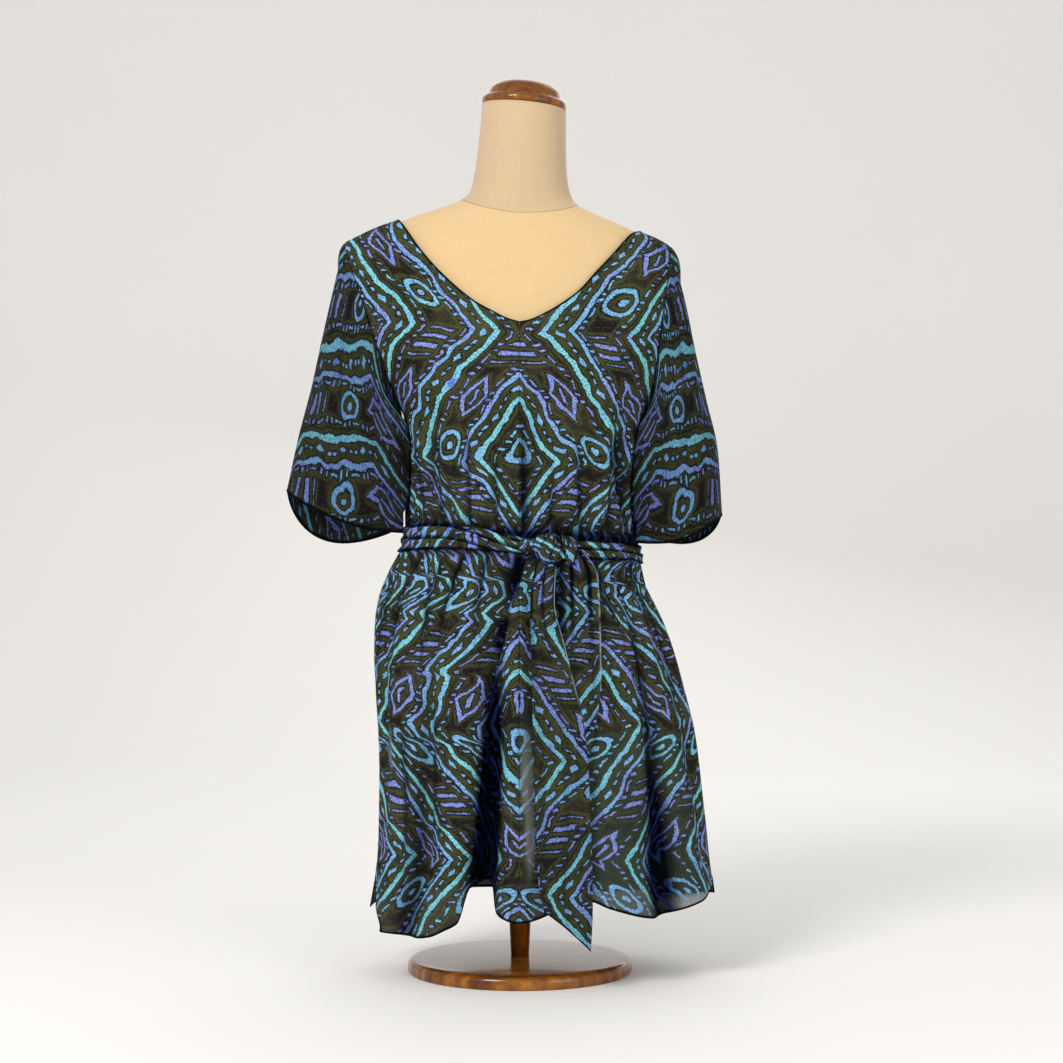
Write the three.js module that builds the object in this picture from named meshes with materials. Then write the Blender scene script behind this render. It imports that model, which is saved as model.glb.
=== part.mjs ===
// A short kaftan dress of sheer silk with its tied sash, worn by a limbless dress form on a round stand.
// Millimetres, +Z up, the front faces -Y. The origin is the centre of the stand's underside.
// Heights are of the standing garment, and "left" and "right" are as seen from the front.
import * as THREE from "three";

// Driving dimensions
const CLOTH = 1.2; // wall of one layer of cloth
const SASH = 1.5; // wall of a sash end, which is two layers of cloth
const SEAM_GAP = 0.3; // between two pieces that are sewn or stand together
const WAIST = 537; // height of the middle of the sash
const SKIRT_LEVEL = 300; // height below which the hem's curve shows in the weave
const V_POINT = 800; // height of the neckline's lowest point
const BACK_NECK = 903; // height of the neckline at the centre of the back
const NECK_SIDE = 928; // height where the neckline crosses the shoulder seam
const CAP_SEAT = 1078; // height of the top of the form's neck
const POLE_RADIUS = 15;
const BASE_RADIUS = 140;
const BASE_HEIGHT = 20;

// Sections of the dress form, from its underside to its neck. The centre moves sideways by "shift".
const FORM_SECTIONS = [
  { z: 304, half: 158, front: 96, back: 100, square: 2.4, shift: 0 },
  { z: 311, half: 166, front: 104, back: 108, square: 2.4, shift: 0 },
  { z: 345, half: 171, front: 110, back: 118, square: 2.3, shift: 0 },
  { z: 400, half: 169, front: 108, back: 117, square: 2.3, shift: 0 },
  { z: 450, half: 157, front: 103, back: 108, square: 2.2, shift: 0 },
  { z: 500, half: 136, front: 97, back: 95, square: 2.2, shift: 0 },
  { z: 537, half: 129, front: 94, back: 88, square: 2.2, shift: 0 },
  { z: 580, half: 129, front: 97, back: 89, square: 2.2, shift: 0 },
  { z: 640, half: 134, front: 105, back: 95, square: 2.2, shift: 0 },
  { z: 700, half: 142, front: 117, back: 100, square: 2.2, shift: 0 },
  { z: 737, half: 149, front: 121, back: 102, square: 2.3, shift: 0 },
  { z: 780, half: 155, front: 114, back: 102, square: 2.3, shift: 0 },
  { z: 820, half: 163, front: 103, back: 100, square: 2.4, shift: 0 },
  { z: 860, half: 178, front: 92, back: 97, square: 2.4, shift: 0 },
  { z: 885, half: 185, front: 84, back: 92, square: 2.4, shift: 0 },
  { z: 896, half: 184, front: 80, back: 89, square: 2.4, shift: 0 },
  { z: 905, half: 180, front: 76, back: 85, square: 2.4, shift: 0 },
  { z: 914, half: 170, front: 72, back: 81, square: 2.4, shift: 0 },
  { z: 921, half: 160, front: 69, back: 76, square: 2.4, shift: 0 },
  { z: 928, half: 146, front: 66, back: 72, square: 2.3, shift: 0 },
  { z: 936, half: 127, front: 63, back: 67, square: 2.3, shift: 0 },
  { z: 944, half: 106, front: 60, back: 63, square: 2.2, shift: 0 },
  { z: 952, half: 86, front: 58, back: 60, square: 2.1, shift: 0 },
  { z: 960, half: 71, front: 56, back: 58, square: 2.0, shift: 0 },
  { z: 968, half: 64, front: 55, back: 57, square: 2.0, shift: 1 },
  { z: 980, half: 60, front: 55, back: 56, square: 2.0, shift: 1 },
  { z: 1010, half: 56, front: 54, back: 54, square: 2.0, shift: 2 },
  { z: 1050, half: 53.5, front: 53, back: 53, square: 2.0, shift: 4 },
  { z: 1078, half: 52.5, front: 52, back: 52, square: 2.0, shift: 5 },
];

// Sections of the cloth from hem to shoulder, on its inner face and without its folds
const CLOTH_SECTIONS = [
  { z: 55, left: 192, right: 247, front: 151, back: 147, square: 2.2 },
  { z: 100, left: 183, right: 242, front: 150, back: 145, square: 2.2 },
  { z: 137, left: 177, right: 236, front: 149, back: 144, square: 2.2 },
  { z: 187, left: 174, right: 231, front: 147, back: 142, square: 2.2 },
  { z: 247, left: 173, right: 223, front: 144, back: 140, square: 2.2 },
  { z: 301, left: 175, right: 215, front: 141, back: 138, square: 2.2 },
  { z: 350, left: 179, right: 203, front: 139, back: 135, square: 2.2 },
  { z: 396, left: 181, right: 191, front: 136, back: 132, square: 2.2 },
  { z: 431, left: 180, right: 180, front: 132, back: 127, square: 2.2 },
  { z: 461, left: 175, right: 167, front: 127, back: 120, square: 2.2 },
  { z: 488, left: 164, right: 154, front: 119, back: 111, square: 2.2 },
  { z: 510, left: 152, right: 149, front: 111, back: 102, square: 2.2 },
  { z: 524, left: 144, right: 147, front: 106, back: 98, square: 2.2 },
  { z: 537, left: 142, right: 146, front: 105, back: 97, square: 2.2 },
  { z: 550, left: 142, right: 147, front: 107, back: 98, square: 2.2 },
  { z: 566, left: 142, right: 148, front: 114, back: 103, square: 2.2 },
  { z: 600, left: 140, right: 147, front: 119, back: 106, square: 2.2 },
  { z: 640, left: 140, right: 148, front: 122, back: 107, square: 2.2 },
  { z: 683, left: 144, right: 153, front: 125, back: 108, square: 2.3 },
  { z: 700, left: 153, right: 158, front: 126, back: 108, square: 2.3 },
  { z: 720, left: 166, right: 167, front: 126, back: 108, square: 2.3 },
  { z: 760, left: 190, right: 181, front: 124, back: 108, square: 2.4 },
  { z: 800, left: 210, right: 190, front: 115, back: 107, square: 2.4 },
  { z: 840, left: 222, right: 196, front: 102, back: 104, square: 2.4 },
  { z: 870, left: 226, right: 199, front: 92, back: 99, square: 2.4 },
  { z: 885, left: 224, right: 199, front: 88, back: 96, square: 2.4 },
  { z: 896, left: 218, right: 197, front: 84, back: 93, square: 2.4 },
  { z: 905, left: 203, right: 193, front: 80, back: 89, square: 2.4 },
  { z: 912, left: 190, right: 187, front: 77, back: 86, square: 2.4 },
  { z: 920, left: 173, right: 173, front: 73, back: 81, square: 2.4 },
  { z: 928, left: 152, right: 151, front: 70, back: 76, square: 2.4 },
  { z: 934, left: 137, right: 136, front: 68, back: 73, square: 2.4 },
];

// The form leans: each point drops by this share of its distance to the right of the centre.
const LEAN = [
  { z: 400, slope: 0 },
  { z: 540, slope: 0.05 },
  { z: 940, slope: 0.05 },
  { z: 1078, slope: 0.09 },
];

// The neckline of the two fronts, as distances to the left and right of the centre
const NECKLINE = [
  { z: 800, left: 0, right: 0 },
  { z: 803, left: 13, right: 12 },
  { z: 811, left: 31, right: 28 },
  { z: 823, left: 54, right: 47 },
  { z: 843, left: 80, right: 72 },
  { z: 868, left: 106, right: 93 },
  { z: 892, left: 126, right: 114 },
  { z: 911, left: 139, right: 129 },
  { z: 921, left: 146, right: 138 },
  { z: 928, left: 152, right: 151 },
];

// Heights of the armhole seams, which are straight when seen from the front
const ARMHOLE = { left: { low: 683, high: 896 }, right: { low: 700, high: 912 } };

// The hem's height by the angle round the body: 0 is the front's centre, 90 the right side
const FRONT_HEM = [
  { angle: -90, z: 68 },
  { angle: -62, z: 63 },
  { angle: -41, z: 60 },
  { angle: -31, z: 65 },
  { angle: -25, z: 74 },
  { angle: -21.5, z: 81 },
  { angle: -18.5, z: 122 },
  { angle: -14, z: 128 },
  { angle: -9.5, z: 121 },
  { angle: -7, z: 94 },
  { angle: -4, z: 88 },
  { angle: 0, z: 84 },
  { angle: 9, z: 96 },
  { angle: 18, z: 108 },
  { angle: 24, z: 99 },
  { angle: 36, z: 86 },
  { angle: 43, z: 82 },
  { angle: 50, z: 86 },
  { angle: 60, z: 97 },
  { angle: 90, z: 116 },
];
const BACK_HEM = [
  { angle: 90, z: 97 },
  { angle: 130, z: 84 },
  { angle: 165, z: 80 },
  { angle: 215, z: 84 },
  { angle: 270, z: 78 },
];

// The slits in the side seams: their top, and how far round the edges of front and back fall open at the hem
const SLIT = {
  left: { top: 146, front: 31, back: 3 },
  right: { top: 128, front: 22, back: 3 },
};

// Folds of the skirt, which grow from the sash to the hem. A negative depth is a valley.
const SKIRT_FOLDS = [
  { waist: -5, hem: -14.5, width: 5.2, depth: -58 },
  { waist: -14, hem: -27, width: 9, depth: 11 },
  { waist: -2, hem: -3, width: 4.5, depth: 9 },
  { waist: -38, hem: -46, width: 8, depth: -12 },
  { waist: -52, hem: -62, width: 9, depth: 6 },
  { waist: 10, hem: 13, width: 6, depth: -13 },
  { waist: 24, hem: 31, width: 8, depth: 8 },
  { waist: 46, hem: 47, width: 7, depth: -24 },
  { waist: 58, hem: 62, width: 8, depth: 7 },
  { waist: 118, hem: 116, width: 10, depth: -16 },
  { waist: 140, hem: 140, width: 10, depth: 9 },
  { waist: 163, hem: 161, width: 9, depth: -15 },
  { waist: 186, hem: 188, width: 11, depth: 9 },
  { waist: 210, hem: 214, width: 9, depth: -17 },
  { waist: 238, hem: 240, width: 10, depth: 8 },
];

// Folds of the bodice between two heights, deepest halfway
const BODICE_FOLDS = [
  { top: 720, low: 556, start: 0, end: 0, width: 7, depth: -4 },
  { top: 735, low: 556, start: 48, end: 63, width: 8, depth: -13 },
  { top: 725, low: 560, start: -42, end: -56, width: 8, depth: -9 },
  { top: 700, low: 556, start: 20, end: 24, width: 7, depth: 4 },
  { top: 700, low: 556, start: -21, end: -26, width: 7, depth: 4 },
  { top: 800, low: 556, start: 205, end: 211, width: 11, depth: 6 },
  { top: 800, low: 556, start: 155, end: 149, width: 11, depth: 6 },
];

// The sleeves by steps from armhole to cuff: the outer and the inner edge seen from the front, and half the depth
const SLEEVES = {
  left: [
    { step: 0, outX: 218, outZ: 896, inX: 144, inZ: 683, depth: 64 },
    { step: 0.2, outX: 233, outZ: 833, inX: 148.5, inZ: 660, depth: 68 },
    { step: 0.4, outX: 246, outZ: 776, inX: 146.5, inZ: 634, depth: 69 },
    { step: 0.6, outX: 260, outZ: 712, inX: 145.5, inZ: 607, depth: 67 },
    { step: 0.8, outX: 275, outZ: 655, inX: 147, inZ: 577, depth: 62 },
    { step: 1, outX: 290, outZ: 586, inX: 150, inZ: 552, depth: 56 },
  ],
  right: [
    { step: 0, outX: 187, outZ: 912, inX: 158, inZ: 700, depth: 64 },
    { step: 0.2, outX: 205, outZ: 845, inX: 157.5, inZ: 668, depth: 69 },
    { step: 0.4, outX: 218, outZ: 783, inX: 154, inZ: 640, depth: 73 },
    { step: 0.6, outX: 232, outZ: 722, inX: 153, inZ: 612, depth: 75 },
    { step: 0.8, outX: 246, outZ: 661, inX: 154, inZ: 584, depth: 75 },
    { step: 1, outX: 251, outZ: 584, inX: 154, inZ: 556, depth: 73 },
  ],
};
// How far the cuff's edge hangs down at the middle of its front and of its back
const CUFF = { left: { front: 19, back: 46 }, right: { front: 20, back: 27 } };
// The inner part of each sleeve's front falls in over the side of the body, round this turn
const TUCK = { turn: 140, width: 22, depth: 26 };

// The sash round the waist: its height by the angle, and its rounded section over the cloth
const SASH_HEIGHT = [
  { angle: -180, z: 536 },
  { angle: -90, z: 533 },
  { angle: -30, z: 538 },
  { angle: 10, z: 537 },
  { angle: 45, z: 533 },
  { angle: 90, z: 531 },
  { angle: 180, z: 536 },
];
const SASH_SECTION = [
  { rise: -14, out: 0.8 },
  { rise: 0, out: 0.7 },
  { rise: 14, out: 0.8 },
  { rise: 16, out: 2.4 },
  { rise: 7, out: 5 },
  { rise: -7, out: 5 },
  { rise: -16, out: 2.4 },
];
const KNOT = { x: 41, y: -121.9, z: 529, halfX: 27, halfY: 12, halfZ: 17 };

// The two hanging ends of the sash, as the places of their left and right edges by height
const LONG_END = [
  { z: 40, left: 40, right: 84 },
  { z: 100, left: 29, right: 87 },
  { z: 126, left: 23, right: 87 },
  { z: 214, left: 19, right: 84 },
  { z: 274, left: 17, right: 81.5 },
  { z: 325, left: 15.5, right: 75.5 },
  { z: 382, left: 14.5, right: 61.5 },
  { z: 417, left: 13.5, right: 53 },
  { z: 465, left: 13, right: 42 },
  { z: 515, left: 20, right: 44 },
];
const SHORT_END = [
  { z: 275, left: 56, right: 82 },
  { z: 309, left: 52, right: 89 },
  { z: 331, left: 50, right: 93.5 },
  { z: 373, left: 48, right: 98 },
  { z: 440, left: 47, right: 97 },
  { z: 500, left: 48, right: 94 },
  { z: 530, left: 50, right: 76 },
];

// The form's turned cap and the stand's base, as radius and height from their own undersides
const CAP_PROFILE = [
  [0, 0],
  [49, 0],
  [52.5, 2.5],
  [53, 6],
  [51, 9.5],
  [46.5, 11.5],
  [45, 15],
  [41, 22],
  [35, 27.5],
  [27, 30.5],
  [0, 31.5],
];
const BASE_PROFILE = [
  [0, 0],
  [BASE_RADIUS - 2, 0],
  [BASE_RADIUS, 2],
  [BASE_RADIUS, 11],
  [BASE_RADIUS - 3, 15],
  [BASE_RADIUS - 12, 17],
  [40, BASE_HEIGHT],
  [0, BASE_HEIGHT],
];

const mix = (a, b, t) => a + (b - a) * t;
const radians = (degrees) => (degrees * Math.PI) / 180;
const degrees = (angle) => (angle * 180) / Math.PI;
const clamp = (t) => Math.min(1, Math.max(0, t));
const ease = (t) => clamp(t) ** 2 * (3 - 2 * clamp(t));
const steps = (count) => Array.from({ length: count + 1 }, (_, i) => i / count);

// Smooth curve through one column of a table, by its key column, with no overshoot between rows
function curve(rows, key, column) {
  const t = rows.map((row) => row[key]);
  const v = rows.map((row) => row[column]);
  const rise = t.slice(1).map((_, i) => (v[i + 1] - v[i]) / (t[i + 1] - t[i]));
  const slope = v.map((_, i) => {
    if (i === 0 || i === v.length - 1) return rise[Math.max(0, i - 1)];
    const [a, b] = [rise[i - 1], rise[i]];
    return a * b <= 0 ? 0 : (2 * a * b) / (a + b);
  });
  return (at) => {
    const last = t.length - 2;
    let i = 0;
    while (i < last && at > t[i + 1]) i++;
    const span = t[i + 1] - t[i];
    const s = clamp((at - t[i]) / span);
    const a = v[i] + s * s * (3 - 2 * s) * (v[i + 1] - v[i]);
    return a + span * s * (1 - s) * ((1 - s) * slope[i] - s * slope[i + 1]);
  };
}

// All columns of a table as one function, from a key to a row
function table(rows, key) {
  const columns = Object.keys(rows[0]).filter((name) => name !== key);
  const curves = columns.map((name) => curve(rows, key, name));
  return (at) => Object.fromEntries(columns.map((name, i) => [name, curves[i](at)]));
}

const leanAt = curve(LEAN, "z", "slope");
const formAt = table(FORM_SECTIONS, "z");
const clothAt = table(CLOTH_SECTIONS, "z");
const neckAt = table(NECKLINE, "z");
const frontHem = curve(FRONT_HEM, "angle", "z");
const backHem = curve(BACK_HEM, "angle", "z");
const sashAt = curve(SASH_HEIGHT, "angle", "z");

// Puts a point into the leaning stance of the form
function stand(x, y, z) {
  return new THREE.Vector3(x, y, z - leanAt(z) * x);
}

// Point and outward direction on a rounded section, by the angle from the front towards the right
function onSection(angle, { left, right, front, back, square }) {
  const s = Math.sin(radians(angle));
  const c = Math.cos(radians(angle));
  const half = s < 0 ? left : right;
  const depth = c > 0 ? front : back;
  const acrossShare = Math.sign(s) * Math.abs(s) ** (2 / square);
  const depthShare = Math.sign(c) * Math.abs(c) ** (2 / square);
  const out = new THREE.Vector2(
    (Math.sign(s) * Math.abs(acrossShare) ** (square - 1)) / half,
    (-Math.sign(c) * Math.abs(depthShare) ** (square - 1)) / depth,
  ).normalize();
  return { x: half * acrossShare, y: -depth * depthShare, out };
}

// Angle at which a section reaches a distance from the centre, on its front
function angleAt(distance, half, square) {
  return degrees(Math.asin(clamp(distance / half) ** (square / 2)));
}

// How far a section reaches to one side at a distance "y" in front of or behind its centre
function reachAt(y, section, side) {
  const depth = y < 0 ? section.front : section.back;
  return section[side] * (1 - clamp(Math.abs(y) / depth) ** section.square) ** (1 / section.square);
}

// Signed distance round the body between two angles
function turn(from, to) {
  return ((((to - from) % 360) + 540) % 360) - 180;
}

// How far the folds push the cloth out at an angle and a height
function foldsAt(angle, z) {
  let out = 0;
  for (const fold of SKIRT_FOLDS) {
    const down = (WAIST - 25 - z) / (WAIST - 95);
    const centre = mix(fold.waist, fold.hem, clamp(down));
    const width = fold.width * mix(0.7, 1, clamp(down));
    out += fold.depth * ease(down) * Math.exp(-((turn(centre, angle) / width) ** 2));
  }
  for (const fold of BODICE_FOLDS) {
    const down = clamp((fold.top - z) / (fold.top - fold.low));
    const centre = mix(fold.start, fold.end, down);
    const strength = Math.sin(Math.PI * down ** 1.4);
    out += fold.depth * strength * Math.exp(-((turn(centre, angle) / fold.width) ** 2));
  }
  return out;
}

// Point of the cloth at an angle and a height, or further out by "extra"
function clothPoint(angle, z, extra = 0) {
  const { x, y, out } = onSection(angle, clothAt(z));
  const push = foldsAt(angle, z) + extra;
  return stand(x + out.x * push, y + out.y * push, z);
}

// The shared corners of a set of quads, and each quad as four places in that list
function share(quads) {
  const index = new Map();
  const points = [];
  const idOf = (p) => {
    const key = p.toArray().map((n) => Math.round(n * 1000)).join();
    if (!index.has(key)) index.set(key, points.push(p) - 1);
    return index.get(key);
  };
  return { cells: quads.map((quad) => quad.map(idOf)), points };
}

function surface(points, faces) {
  return new THREE.BufferGeometry()
    .setAttribute("position", new THREE.Float32BufferAttribute(points.flatMap((p) => p.toArray()), 3))
    .setIndex(faces.flat());
}

// Closed wall on a surface of quads, each four points in turn. It grows to the side that the quads face.
// "trim" may move each corner of both faces, to keep a gap at a seam.
function wall(quads, thickness, trim = (p) => p) {
  const { cells, points } = share(quads);
  const normals = points.map(() => new THREE.Vector3());
  for (const [a, b, c, d] of cells) {
    const across = points[c].clone().sub(points[a]);
    const normal = across.cross(points[d].clone().sub(points[b]));
    for (const id of [a, b, c, d]) normals[id].add(normal);
  }
  const outer = points.map((p, i) => trim(p.clone().addScaledVector(normals[i].normalize(), thickness)));
  const inner = points.map((p) => trim(p.clone()));
  const count = points.length;
  const faces = [];
  const edges = new Map();
  for (const [a, b, c, d] of cells) {
    faces.push([a, b, c], [a, c, d], [count + a, count + c, count + b], [count + a, count + d, count + c]);
    for (const [from, to] of [[a, b], [b, c], [c, d], [d, a]]) {
      if (!edges.delete(to + "," + from)) edges.set(from + "," + to, [from, to]);
    }
  }
  for (const [from, to] of edges.values()) {
    faces.push([from, count + from, count + to], [from, count + to, to]);
  }
  return surface([...outer, ...inner], faces);
}

// Quads between the neighbouring rows of a grid of points
function weave(rows, flip = false) {
  const quads = [];
  for (let j = 0; j + 1 < rows.length; j++) {
    for (let i = 0; i + 1 < rows[j].length; i++) {
      const quad = [rows[j][i], rows[j][i + 1], rows[j + 1][i + 1], rows[j + 1][i]];
      quads.push(flip ? quad.reverse() : quad);
    }
  }
  return quads;
}

// Closed solid through rings of points, with a fan at each end
function loft(rings) {
  const sides = rings[0].length;
  const centre = (ring) => ring.reduce((sum, p) => sum.add(p), new THREE.Vector3()).divideScalar(sides);
  const points = [...rings.flat(), centre(rings[0]), centre(rings.at(-1))];
  const faces = [];
  const top = (rings.length - 1) * sides;
  for (let i = 0; i < sides; i++) {
    const next = (i + 1) % sides;
    for (let j = 0; j + 1 < rings.length; j++) {
      const low = j * sides;
      const high = low + sides;
      faces.push([low + i, low + next, high + next], [low + i, high + next, high + i]);
    }
    faces.push([points.length - 2, next, i], [points.length - 1, top + i, top + next]);
  }
  return surface(points, faces);
}

// Turned solid on the Z axis from a profile of radius and height
function turned(profile, sides) {
  const points = profile.map(([radius, height]) => new THREE.Vector2(radius, height));
  return new THREE.LatheGeometry(points, sides).rotateX(Math.PI / 2);
}

// Half of a front or back from its centre to its side: rows of points from hem to shoulder.
// The centre edge runs up the centre and then along the neckline, the side edge up the side and the armhole.
function halfPanel(side, isBack, columns) {
  const sign = side === "left" ? -1 : 1;
  const { low, high } = ARMHOLE[side];
  const slit = SLIT[side];
  const hem = isBack ? backHem : frontHem;
  const neckLow = isBack ? BACK_NECK : V_POINT;
  const toAngle = (away) => (isBack ? (180 - sign * away + 360) % 360 : sign * away);
  const sideAway = (z) => {
    const open = ease((slit.top - z) / (slit.top - 70));
    return 90 - open * (isBack ? slit.back : slit.front);
  };
  const armhole = (t) => {
    const z = mix(low, high, (1 - Math.cos(Math.PI * t)) / 2);
    const x = mix(clothAt(low)[side], clothAt(high)[side], (z - low) / (high - low));
    return { z, away: angleAt(x, clothAt(z)[side], clothAt(z).square) };
  };
  const neckline = (t) => {
    const z = mix(neckLow, NECK_SIDE, isBack ? 1 - (1 - t) ** 1.6 : t);
    const full = clothAt(z)[side];
    const x = isBack ? full * Math.sin((Math.PI / 2) * t) ** 0.9 : neckAt(z)[side];
    return { z, away: t === 1 ? 90 : angleAt(x, full, clothAt(z).square) };
  };
  const rows = [];
  const addRow = (inner, outer, drop) => {
    rows.push(
      columns.map((u) => {
        const away = mix(inner.away, outer.away, u);
        const angle = toAngle(away);
        const z = mix(inner.z, outer.z, u) + drop * (hem(angle) - SKIRT_LEVEL);
        return clothPoint(angle, z);
      }),
    );
  };
  for (const t of steps(10).slice(0, -1)) {
    const level = mix(hem(toAngle(90)), SKIRT_LEVEL, t);
    addRow({ z: SKIRT_LEVEL, away: 0 }, { z: SKIRT_LEVEL, away: sideAway(level) }, 1 - t);
  }
  const levels = [
    [SKIRT_LEVEL, SKIRT_LEVEL, 5],
    [WAIST - 36, WAIST - 36, 6],
    [WAIST + 24, WAIST + 24, 6],
    [neckLow, low, 0],
  ];
  for (let k = 0; k + 1 < levels.length; k++) {
    for (const t of steps(levels[k][2]).slice(0, -1)) {
      const inner = { z: mix(levels[k][0], levels[k + 1][0], t), away: 0 };
      const outer = { z: mix(levels[k][1], levels[k + 1][1], t), away: 90 };
      addRow(inner, outer, 0);
    }
  }
  for (const t of steps(11)) {
    const up = 1 - (1 - t) ** 1.5;
    addRow(neckline(up), armhole(up), 0);
  }
  return rows;
}

// A sleeve as rings of points from the armhole to the cuff. The turn is 0 outside, 90 in front, 180 inside.
function sleeveRows(side) {
  const sign = side === "left" ? -1 : 1;
  const at = table(SLEEVES[side], "step");
  const { low, high } = ARMHOLE[side];
  const cuff = CUFF[side];
  const ringPoint = (step, around) => {
    const row = at(step);
    const c = Math.cos(radians(around));
    const s = Math.sin(radians(around));
    const share = (1 + c) / 2;
    const hang = s > 0 ? cuff.front * (1 - 0.4 * c) : cuff.back * (1 + 0.5 * c);
    const fall = ease((step - 0.5) / 0.5) * Math.abs(s) * hang;
    const tuck = TUCK.depth * Math.exp(-(((around - TUCK.turn) / TUCK.width) ** 2));
    const x = mix(row.inX, row.outX, share) - tuck * ease((step - 0.04) / 0.3);
    const y = -row.depth * Math.sign(s) * Math.abs(s) ** 0.9;
    return new THREE.Vector3(x, y, mix(row.inZ, row.outZ, share) - fall);
  };
  const armholePoint = (around) => {
    const c = Math.cos(radians(around));
    const s = Math.sin(radians(around));
    const z = mix(low, high, (1 + c) / 2);
    const row = clothAt(z);
    const x = mix(clothAt(low)[side], clothAt(high)[side], (1 + c) / 2);
    const away = angleAt(x, row[side], row.square);
    const angle = s >= 0 ? sign * away : 180 - sign * away;
    const { y } = onSection(Math.abs(s) < 1e-6 ? sign * 90 : angle, row);
    return new THREE.Vector3(x, Math.abs(s) < 1e-6 ? 0 : y, z);
  };
  return steps(10).map((step) =>
    steps(26).map((t) => {
      const around = 360 * (t % 1);
      const free = ringPoint(step, around);
      const sewn = armholePoint(around).sub(ringPoint(0, around));
      const p = free.addScaledVector(sewn, 1 - ease(step / 0.5));
      const inside = (1 - Math.cos(radians(around))) / 2;
      const clear = mix(mix(1.1, 4.5, inside ** 2), mix(1.1, 5.2, ease(inside * 1.5)), ease(step / 0.15));
      const overSash = 6 * ease((576 - p.z) / 14);
      const x = Math.max(p.x + 0.6, reachAt(p.y, clothAt(p.z), side) + clear + overSash);
      return stand(sign * x, p.y, p.z);
    }),
  );
}

// Height of the knot's underside at a distance from the centre
function underKnot(x) {
  const share = clamp(Math.abs(x - KNOT.x) / KNOT.halfX);
  return KNOT.z - KNOT.halfZ * Math.sqrt(1 - share ** 2);
}

// One hanging end of the sash as a grid from its cut edge up to the knot, "out" from the skirt and
// further out by "lift" where it leaves the knot
function endRows(places, bottom, out, lift) {
  const at = table(places, "z");
  return steps(18).map((t) =>
    steps(5).map((u) => {
      const guess = mix(at(420).left, at(420).right, u);
      const foot = mix(bottom[0], bottom[1], u);
      const level = mix(foot, underKnot(mix(at(515).left, at(515).right, u)) - 0.6, t);
      const edges = at(level);
      const x = mix(edges.left, edges.right, u);
      const row = clothAt(level);
      const away = angleAt(x, row.right, row.square);
      const wave = 1.6 * Math.sin(3 * Math.PI * u + guess / 9) * ease((1 - t) * 2.2);
      const rise = lift * ease((level - 455) / 50);
      return stand(x, onSection(away, row).y - CLOTH - out - rise - wave, level);
    }),
  );
}

const pieces = new THREE.Group();
pieces.name = "kaftan_on_dress_form";

const SILK = new THREE.MeshStandardMaterial({ color: 0x2b2119, roughness: 0.6, side: THREE.DoubleSide });
const LINEN = new THREE.MeshStandardMaterial({ color: 0xf0d8ae, roughness: 0.9 });
const WOOD = new THREE.MeshStandardMaterial({ color: 0x8a4510, roughness: 0.25 });

function add(name, geometry, material) {
  geometry.computeVertexNormals();
  const mesh = new THREE.Mesh(geometry, material);
  mesh.name = name;
  pieces.add(mesh);
  return mesh;
}

// Stand: a turned base with a pole up into the form
add("stand_base", turned(BASE_PROFILE, 44), WOOD);
const poleLength = FORM_SECTIONS[0].z - BASE_HEIGHT - 2 * SEAM_GAP;
const pole = add("stand_pole", new THREE.CylinderGeometry(POLE_RADIUS, POLE_RADIUS, poleLength, 28), WOOD);
pole.rotation.x = Math.PI / 2;
pole.position.z = BASE_HEIGHT + SEAM_GAP + poleLength / 2;

// Dress form: a limbless torso with its neck, in one padded body
const formLevels = FORM_SECTIONS.map((row) => row.z);
const formRings = formLevels.map((z) => {
  const { half, shift, ...row } = formAt(z);
  return steps(40)
    .slice(0, -1)
    .map((t) => {
      const { x, y } = onSection(360 * t, { left: half, right: half, ...row });
      return z === formLevels[0] ? new THREE.Vector3(x, y, z) : stand(x + shift, y, z);
    });
});
add("form_body", loft(formRings), LINEN);

// Cap: a turned wooden lid on the neck
const cap = add("form_cap", turned(CAP_PROFILE, 32), WOOD);
cap.rotation.y = Math.atan(leanAt(CAP_SEAT));
cap.position.set(formAt(CAP_SEAT).shift, 0, CAP_SEAT + SEAM_GAP - formAt(CAP_SEAT).shift * leanAt(CAP_SEAT));

// Fronts: two panels with a seam down the centre, their columns closer where the deep fold is
const gap = SEAM_GAP / 2;
const frontColumns = steps(17).map((t) => t ** 1.35);
const backColumns = steps(12);
const leftFront = halfPanel("left", false, frontColumns).map((row) => row.toReversed());
const trimLeft = (p) => p.set(Math.min(p.x, -gap), Math.min(p.y, -gap), p.z);
add("front_left", wall(weave(leftFront), CLOTH, trimLeft), SILK);
const trimRight = (p) => p.set(Math.max(p.x, gap), Math.min(p.y, -gap), p.z);
add("front_right", wall(weave(halfPanel("right", false, frontColumns)), CLOTH, trimRight), SILK);

// Back: one panel, woven from its two halves, which share the centre up to the neckline
const backQuads = [
  ...weave(halfPanel("right", true, backColumns), true),
  ...weave(halfPanel("left", true, backColumns)),
];
const trimBack = (p) => p.set(p.x, Math.max(p.y, gap), p.z);
add("back", wall(backQuads, CLOTH, trimBack), SILK);

// Sleeves: a tube each, from the armhole to an open cuff
add("sleeve_left", wall(weave(sleeveRows("left"), true), CLOTH), SILK);
add("sleeve_right", wall(weave(sleeveRows("right")), CLOTH), SILK);

// Sash: the folded band round the waist, its knot and its two ends
const bandRows = steps(64).map((t) =>
  [...SASH_SECTION, SASH_SECTION[0]].map(({ rise, out }) => {
    const angle = mix(-180, 180, t);
    return clothPoint(angle, sashAt(angle) + rise, CLOTH + out);
  }),
);
const band = share(weave(bandRows));
const bandFaces = band.cells.flatMap(([a, b, c, d]) => [[a, b, c], [a, c, d]]);
add("sash_band", surface(band.points, bandFaces), SILK);

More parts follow.
